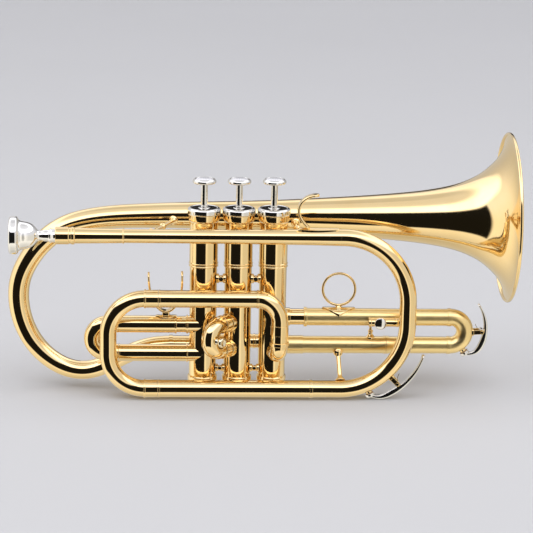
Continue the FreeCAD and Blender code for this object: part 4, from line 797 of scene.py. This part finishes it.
def knurled(name, c, d, mat, body, node, R=4.3, h=2.15, teeth=34):
    u, w, dd = basis(d)
    c = np.array(c, float)
    verts, faces = [], []
    rows = [(0.0, 0.60, 0), (0.12, 0.80, 0), (0.32, 0.92, 0.0), (1.0, 1.0, 1), (h - 0.45, 1.0, 1), (h - 0.15, 0.93, 0.5), (h, 0.82, 0)]
    n = teeth * 4
    for a, s, k in rows:
        for i in range(n):
            t = 2 * math.pi * i / n
            g = (-0.045 if i % 4 in (0, 1) else 0.0) * k
            r = R * (s + g)
            verts.append(c + dd * a + (u * math.cos(t) + w * math.sin(t)) * r)
    for j in range(len(rows) - 1):
        for i in range(n):
            i2 = (i + 1) % n
            faces.append([j * n + i, j * n + i2, (j + 1) * n + i2, (j + 1) * n + i])
    # domed face
    k0 = 0
    for t in range(1, 9):
        s = math.cos(math.radians(90 * t / 9)) * 0.60
        k1 = len(verts)
        for i in range(n):
            q = 2 * math.pi * i / n
            verts.append(c + dd * (0.0 - 0.0 * t) + (u * math.cos(q) + w * math.sin(q)) * R * s)
        for i in range(n):
            i2 = (i + 1) % n
            faces.append([k0 + i2, k0 + i, k1 + i, k1 + i2])
        k0 = k1
    top = len(verts); verts.append(c + dd * 0.0)
    for i in range(n):
        faces.append([top, k0 + (i + 1) % n, k0 + i])
    # pull the rim of the face back so that it is a shallow dome
    for j, v in enumerate(verts):
        a = (v - c) @ dd
        rr = np.linalg.norm((v - c) - dd * a)
        if a < 0.34 and rr < R * 0.995:
            verts[j] = v - dd * a + dd * (0.9 * (rr / R) ** 2)
    shaft = lathe_data(rounded([(0, 0), (0, 0.9), (2.0, 0.9), (2.0, 0)], 0.1), c + dd * h, d, 28)
    o = (len(rows) - 1) * n
    bot = len(verts); verts.append(c + dd * h)
    for i in range(n):
        faces.append([bot, o + i, o + (i + 1) % n])
    ob = join(name, [(np.array(verts), faces), shaft], mat, body, 30)
    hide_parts(node)


knurled("lyre_thumb_screw", (-95.8, YS - 5.25, ZS), (0, 1, 0), NICKEL, "lyre_screw", "lyre_screw")

# ------------------------------------------------------------------ hook and stays
hook = strip_data([(-149.0, 0.8), (-152.6, 4.6), (-155.9, 9.6), (-156.9, 14.2), (-155.3, 19.4), (-150.4, 23.7), (-142.6, 25.2)], 6.9, 1.9, Y_LEAD, 90)
hb = saddle_plate(-157.2, -127.9, Y_LEAD, Z_LEAD, 5.95, 38.0, 0.9, 40, 20, taper=lambda u: 0.72 + 0.28 * math.sin(math.pi * u))
ob = join("little_finger_hook", [hook, hb], BRASS, "root"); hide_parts("finger_hook")


def stay_data(a, b, r, fa, fb, la=3.2, lb=3.2):
    a, b = np.array(a, float), np.array(b, float)
    L = np.linalg.norm(b - a)
    m = L / 2
    prof = [(0, 0), (0, fa), (0.5, fa), (1.1, fa * 0.72), (la * 0.75, r * 1.25), (la, r), (m - 1.9, r), (m - 1.4, r + 0.5), (m - 0.7, r + 0.85), (m, r + 0.95), (m + 0.7, r + 0.85),
            (m + 1.4, r + 0.5), (m + 1.9, r), (L - lb, r), (L - lb * 0.75, r * 1.25), (L - 1.1, fb * 0.72), (L - 0.5, fb), (L, fb), (L, 0)]
    return lathe_data(rounded(prof, 0.2), a, b - a, 40)


def trim(a, b, s, e):
    a, b = np.array(a, float), np.array(b, float)
    d = unit(b - a)
    return a + d * s, b - d * e


a, b = trim((-262.0, Y_LEAD, -4.0), (-240.0, 24.0, -1.0), 4.4, 9.6)
a2, b2 = trim((-156.6, Y_LEAD, -4.6), (-156.6, 24.0, -2.0), 4.9, 9.8)
ob = join("bell_stay_rods", [stay_data(a, b, 1.7, 3.2, 3.4), stay_data(a2, b2, 1.7, 3.2, 3.4)], BRASS, "root"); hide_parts("bell_stays")
a1, b1 = np.array([-125.2, Y_S3 - 4.6, Z3L - 3.6]), np.array([-124.2, Y_LEAD + 3.0, Z_LOW + 5.0])
d1 = unit(b1 - a1); L1 = np.linalg.norm(b1 - a1)
prof = [(0, 0), (0, 3.0), (0.6, 3.5), (1.4, 3.6), (2.4, 3.2), (3.4, 2.2), (4.2, 1.75), (5.0, 1.65), (L1 - 4.2, 1.65), (L1 - 3.0, 2.1), (L1 - 1.6, 3.2), (L1 - 0.7, 3.8), (L1, 3.9), (L1, 0)]
eye = lathe_data(rounded([(0, 0), (0.5, 0.5), (0.5, 1.0), (0, 1.1), (0, 2.3), (0.5, 3.0), (3.2, 3.0), (3.6, 2.4), (3.6, 0)], 0.2), a1 + np.array([0.0, -3.4, -0.6]), (0, 1, 0), 40)
ob = join("front_stay_rod", [lathe_data(rounded(prof, 0.3), a1, d1, 48), eye], BRASS, "root"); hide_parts("front_stay")

# ------------------------------------------------------------------ water keys


def bar(a, b, w, t, y0, r=0.25):
    """Flat bar from a to b in an X-Z plane."""
    a, b = np.array([a[0], y0, a[1]], float), np.array([b[0], y0, b[1]], float)
    d = unit(b - a)
    P = np.array([a, a + d * 0.1, b - d * 0.1, b]); T = np.array([d] * 4)
    return sweep_data(P, T, rrect(t, w, min(r, t * 0.45)), None, True, (0, 1, 0))


def wire(pts, r, n=80, m=12):
    C = cubic(pts, n)
    T = np.gradient(C, axis=0)
    T = np.array([unit(t) for t in T])
    return sweep_data(C, T, circle(m), r, True, (0.3, 1, 0.2))


def water_key(name, pivot, y, lever_pts, cup0, pd, base, post_w, body, parent, nip):
    px, pz = pivot
    parts = []
    for s in (-1, 1):
        yy = y + s * 3.0
        parts.append(bar(base, pivot, post_w, 1.2, yy))
        parts.append(lathe_data(rounded([(0, 0), (0, post_w / 2 + 0.15), (1.2, post_w / 2 + 0.15), (1.2, 0)], 0.25), (px, yy - 0.6, pz), (0, 1, 0), 40))
    parts.append(lathe_data(rounded([(0, 0), (0, 1.15), (0.6, 1.3), (0.6, 0.8), (7.8, 0.8), (7.8, 1.15), (8.4, 1.0), (8.4, 0)], 0.15), (px, y - 4.2, pz), (0, 1, 0), 32))
    d = unit((base[0] - px, 0, base[1] - pz))
    q = np.array([base[0], y, base[1]])
    P = np.array([q - d * 0.8, q - d * 0.5, q + d * 0.5, q + d * 0.8])
    parts.append(sweep_data(P, np.array([d] * 4), rrect(8.0, post_w + 1.6, 1.2), [0.94, 1.0, 1.0, 1.0], True, (0, 1, 0)))
    parts.append(nip)
    ob = join(name + "_mount", parts, BRASS, parent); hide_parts(name + "_post")
    cup0, pd = np.array(cup0, float), unit(pd)
    # forged lever: thin at the finger end, deepest just past the pin, thinner again over the cup
    din = unit((base[0] - px, 0, base[1] - pz)) * 0.9
    lev = strip_data([(a[0] + din[0], a[1] + din[2]) for a in lever_pts], 3.9, 1.6, y, 120, wscale=lambda u: 1.5 - 0.6 * u, r=0.55,
                     tscale=lambda u: 0.8 + 0.5 * math.exp(-((u - 0.30) / 0.16) ** 2) + 1.75 * math.exp(-((u - 0.66) / 0.24) ** 2))
    brl = lathe_data(rounded([(0, 0.83), (0, 1.9), (4.4, 1.9), (4.4, 0.83)], 0.3), (px, y - 2.2, pz), (0, 1, 0), 40)
    C = cubic([(x, z) for x, z in lever_pts], 200)
    k = np.argmin(np.hypot(C[:, 0] - px, C[:, 1] - pz))
    web = bar((px, pz), (C[k][0], C[k][1]), 3.0, 3.4, y, 0.6)
    cup = lathe_data(rounded([(0, 2.8), (0, 3.4), (1.6, 3.4), (2.3, 3.1), (2.6, 2.5), (2.6, 0), (1.8, 0), (1.8, 2.8)], 0.25), cup0, pd, 48)
    ob = join(name + "_lever", [lev, brl, web, cup], NICKEL, body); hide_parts(name)
    v, f = lathe_data(rounded([(0, 0), (0, 2.6), (0.25, 2.75), (2.28, 2.75), (2.28, 0)], 0.15), cup0 - pd * 0.5, pd, 40)
    ob = make(name + "_pad", v, f, CORK, body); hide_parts(name + "_cork")
    # wire spring: one tail and most of a turn round the pin beside the barrel
    t0 = unit((base[0] - px, 0, base[1] - pz))
    side = np.array([t0[2], 0, -t0[0]])
    top = np.array([lever_pts[0][0], 0, lever_pts[0][1]]) - np.array([px, 0, pz])
    if side @ top < 0:
        side = -side
    pts = []
    c = np.array([px, y, pz])
    for tt, yy in ((0, -2.36), (1, 2.36)):
        pass
    a_s = math.atan2(side[2], side[0])
    pts.append(c + t0 * 4.6 + side * 6.2 + np.array([0, -2.45, 0]))
    pts.append(c + t0 * 3.2 + side * 3.4 + np.array([0, -2.5, 0]))
    for k in range(0, 17):
        aa = a_s - 2 * math.pi * k / 8
        pts.append(c + np.array([math.cos(aa) * 1.35, -2.42 + 0.0 * k, math.sin(aa) * 1.35]))
    parts = [wire(pts[:2] + pts[2:10], 0.22)]
    v, f = parts[0]
    make(name + "_spring_wire", v, f, STEEL, parent)


c3c = np.array([X3_BEND, Y_S3, Z3U - R3]); pd3 = unit((0.56, 0, -0.83))
cup3 = c3c + pd3 * (R3 + 4.0 + 3.4 + 0.52)
nip = lathe_data(rounded([(0, 1.1), (0, 2.3), (1.9, 2.3), (1.9, 1.1)], 0.2), c3c + pd3 * (R3 + 5.5), pd3, 36)
l3 = [(-23.2, -58.3), (-20.6, -62.6), (-17.9, -70.0), (-17.3, -79.2), (-19.4, -88.0), (-23.8, -94.3), (cup3[0] + pd3[0] * 2.6 + 1.0, cup3[2] + pd3[2] * 2.6 + 0.3)]
water_key("third_water_key", (-21.0, -79.0), Y_S3, l3, cup3, pd3, (-27.6, -79.4), 3.2, "third_key", "third_slide", nip)
fcc = np.array([X_BOW, Y_LEAD, zc_l]); pdf = unit((22.2, 0, -51.6))
cupf = fcc + pdf * (BOW_R + 4.0 + 3.0 + 0.52)
nip = lathe_data(rounded([(0, 1.1), (0, 2.3), (1.5, 2.3), (1.5, 1.1)], 0.2), fcc + pdf * (BOW_R + 5.5), pdf, 36)
lf = [(-64.4, -91.5), (-67.6, -99.5), (-73.0, -108.0), (-79.5, -114.6), (-87.0, -119.6), (-94.5, -122.8), (cupf[0] + pdf[0] * 2.4 - 0.4, cupf[2] + pdf[2] * 2.4 + 0.1)]
pv = unit((40.4, 0, -42.0)); pivf = fcc + pv * 59.4; basf = fcc + pv * 53.2
water_key("body_water_key", (pivf[0], pivf[2]), Y_LEAD, lf, cupf, pdf, (basf[0], basf[2]), 3.4, "body_key", "root", nip)

# return springs: coils between piston and bottom cap
for i, x in enumerate(V_X):
    z0, z1, wr = Z_BOTTOM + 1.5, -97.5, 0.38
    uu = np.linspace(0, 1, 289)
    P = np.stack([x + 6.9 * np.cos(12 * math.pi * uu), 6.9 * np.sin(12 * math.pi * uu), z0 + wr + 0.05 + (z1 - z0 - 2 * wr - 0.1) * uu], 1)
    T = np.gradient(P, axis=0)
    T = np.array([unit(t) for t in T])
    ob = join("return_spring_%d" % (i + 1), [sweep_data(P, T, circle(10), wr, True, (0, 0, 1))], STEEL, "root")
    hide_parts("valve_%d_spring" % (i + 1))
    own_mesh(ob)

# ------------------------------------------------------------------ carried-over CAD pieces
for name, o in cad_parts.items():
    if o.hide_render:
        continue
    mat = BRASS
    if "piston" in name:
        mat = MONEL
    elif "spring" in name:
        mat = STEEL
    if not o.data.materials:
        o.data.materials.append(mat)
    for s in o.material_slots:
        s.material = mat

# ------------------------------------------------------------------ stage, light and camera
lo, hi = CAD_BOX
floor_z = lo[2] - 0.0005


def stage_mat(name, c):
    m, nt, b = nodes_of(name)
    L = nt.links.new
    tc = add(nt, "ShaderNodeTexCoord")
    n = add(nt, "ShaderNodeTexNoise", Scale=3.0, Detail=3.0)
    r = add(nt, "ShaderNodeValToRGB")
    r.color_ramp.elements[0].color = (c * 0.97, c * 0.97, c * 0.97, 1); r.color_ramp.elements[1].color = (c, c, c, 1)
    L(tc.outputs["Object"], n.inputs["Vector"]); L(n.outputs["Fac"], r.inputs["Fac"]); L(r.outputs["Color"], b.inputs["Base Color"])
    b.inputs["Roughness"].default_value = 0.9
    return m


SM = stage_mat("pale_floor", 0.50)
# one sheet: floor that curves up into a backdrop
rows = [(-16.0, 0.0)] + [(3.2 + 2.0 * math.sin(math.radians(a)), 2.0 * (1 - math.cos(math.radians(a)))) for a in range(0, 91, 6)] + [(5.2, 9.0)]
vs, fs = [], []
for y, z in rows:
    vs += [(-16.0, y, floor_z + z), (16.0, y, floor_z + z)]
for i in range(len(rows) - 1):
    fs.append((2 * i, 2 * i + 1, 2 * i + 3, 2 * i + 2))
me = bpy.data.meshes.new("floor_sheet"); me.from_pydata(vs, [], fs); me.shade_smooth(); me.materials.append(SM)
fl = bpy.data.objects.new("floor_sheet", me); bpy.context.collection.objects.link(fl)


def area(name, loc, target, size, sy, power, col=(1, 1, 1)):
    l = bpy.data.lights.new(name, "AREA"); l.shape = "RECTANGLE"; l.size = size; l.size_y = sy; l.energy = power; l.color = col
    o = bpy.data.objects.new(name, l); bpy.context.collection.objects.link(o)
    o.location = loc
    o.rotation_euler = (Vector(target) - Vector(loc)).to_track_quat("-Z", "Y").to_euler()
    return o


mid = ((lo[0] + hi[0]) / 2, (lo[1] + hi[1]) / 2, (lo[2] + hi[2]) / 2)
fl.visible_glossy = False
top = area("top_bank", (mid[0], -0.25, 1.5), (mid[0], 0.15, -0.1), 2.4, 1.8, 10.0)
top.visible_glossy = False


def studio_world():
    """Soft white tent round the object with an unlit gap straight ahead and an unlit back, by direction only."""
    w = bpy.data.worlds.new("studio"); bpy.context.scene.world = w; w.use_nodes = True
    nt = w.node_tree; L = nt.links.new
    bg = nt.nodes["Background"]
    tc = add(nt, "ShaderNodeTexCoord"); sx = add(nt, "ShaderNodeSeparateXYZ"); L(tc.outputs["Generated"], sx.inputs[0])

    def m(op, a, b=None):
        n = add(nt, "ShaderNodeMath", operation=op)
        for k, v in enumerate((a, b)):
            if v is None:
                continue
            if isinstance(v, (int, float)):
                n.inputs[k].default_value = v
            else:
                L(v, n.inputs[k])
        return n.outputs[0]

    def ss(x, lo_, hi_, a=0.0, b=1.0):
        n = add(nt, "ShaderNodeMapRange"); n.interpolation_type = "SMOOTHSTEP"
        n.inputs["From Min"].default_value = lo_; n.inputs["From Max"].default_value = hi_
        n.inputs["To Min"].default_value = a; n.inputs["To Max"].default_value = b
        L(x, n.inputs["Value"])
        return n.outputs[0]
    x, y, z = sx.outputs[0], sx.outputs[1], sx.outputs[2]
    elev = m("ARCSINE", z)
    az = m("ARCTAN2", x, m("MULTIPLY", y, -1.0))
    D = math.radians
    gap_e = m("MULTIPLY", ss(elev, D(-39), D(-34)), ss(elev, D(27), D(33), 1, 0))
    gap_a = m("MULTIPLY", ss(az, D(-70), D(-64)), ss(az, D(12), D(20), 1, 0))
    gap = m("MULTIPLY", gap_e, gap_a)
    # the tent fades towards the back and towards straight up
    front = ss(m("MULTIPLY", y, -1.0), -1.0, -0.25, 0.62, 1.0)
    strip = m("MULTIPLY", ss(elev, D(29), D(36)), ss(elev, D(52), D(66), 1, 0))
    zen = m("ADD", ss(elev, D(20), D(85), 1.0, 0.72), m("MULTIPLY", strip, 0.85))
    low = ss(elev, D(-85), D(-20), 0.6, 0.96)
    side = ss(m("ABSOLUTE", az), D(90), D(160), 1.0, 0.8)
    t = m("MULTIPLY", m("MULTIPLY", front, zen), m("MULTIPLY", low, side))
    t = m("MULTIPLY", t, m("SUBTRACT", 1.0, gap))
    # a second unlit gap behind, and a slightly weaker right-hand side
    back = m("MULTIPLY", m("MULTIPLY", ss(elev, D(5), D(9)), ss(elev, D(19), D(24), 1, 0)), ss(az, D(158), D(166)))
    t = m("MULTIPLY", t, m("SUBTRACT", 1.0, m("MULTIPLY", back, 0.96)))
    t = m("MULTIPLY", t, m("SUBTRACT", 1.0, m("MULTIPLY", m("MULTIPLY", ss(az, D(14), D(40)), ss(m("ABSOLUTE", elev), D(25), D(45), 1, 0)), 0.34)))
    t = m("ADD", m("MULTIPLY", t, WORLD), 0.012)
    L(t, bg.inputs["Strength"])
    # the upper part of the tent is a cooler white than the part at and below eye level
    cm = add(nt, "ShaderNodeMix"); cm.data_type = "RGBA"
    cm.inputs[6].default_value = (1.0, 0.955, 0.86, 1); cm.inputs[7].default_value = (1.0, 1.0, 1.06, 1)
    L(ss(elev, D(-6), D(24)), cm.inputs[0])
    L(cm.outputs[2], bg.inputs["Color"])


WORLD = 1.32
studio_world()

be, el, ro = math.radians(3.1), math.radians(13.7), math.radians(1.08)
d = Vector((math.sin(be) * math.cos(el), math.cos(be) * math.cos(el), -math.sin(el)))
r0 = Vector((math.cos(be), -math.sin(be), 0)); u0 = Vector((math.sin(be) * math.sin(el), math.cos(be) * math.sin(el), math.cos(el)))
r = r0 * math.cos(ro) + u0 * math.sin(ro); u = u0 * math.cos(ro) - r0 * math.sin(ro)
DIST = 2150 * 0.715
loc = -d * DIST - Vector((177.772, 26.0, 31.448))
cam = bpy.data.cameras.new("camera"); co = bpy.data.objects.new("camera", cam); bpy.context.collection.objects.link(co)
cam.sensor_width = 36.0; cam.lens = 2150 / 533 * 36.0; cam.clip_start = 0.05; cam.clip_end = 50
M = Matrix(((r.x, u.x, -d.x, loc.x * 0.001), (r.y, u.y, -d.y, loc.y * 0.001), (r.z, u.z, -d.z, loc.z * 0.001), (0, 0, 0, 1)))
co.matrix_world = M
bpy.context.scene.camera = co
bpy.context.scene.view_settings.view_transform = "Standard"
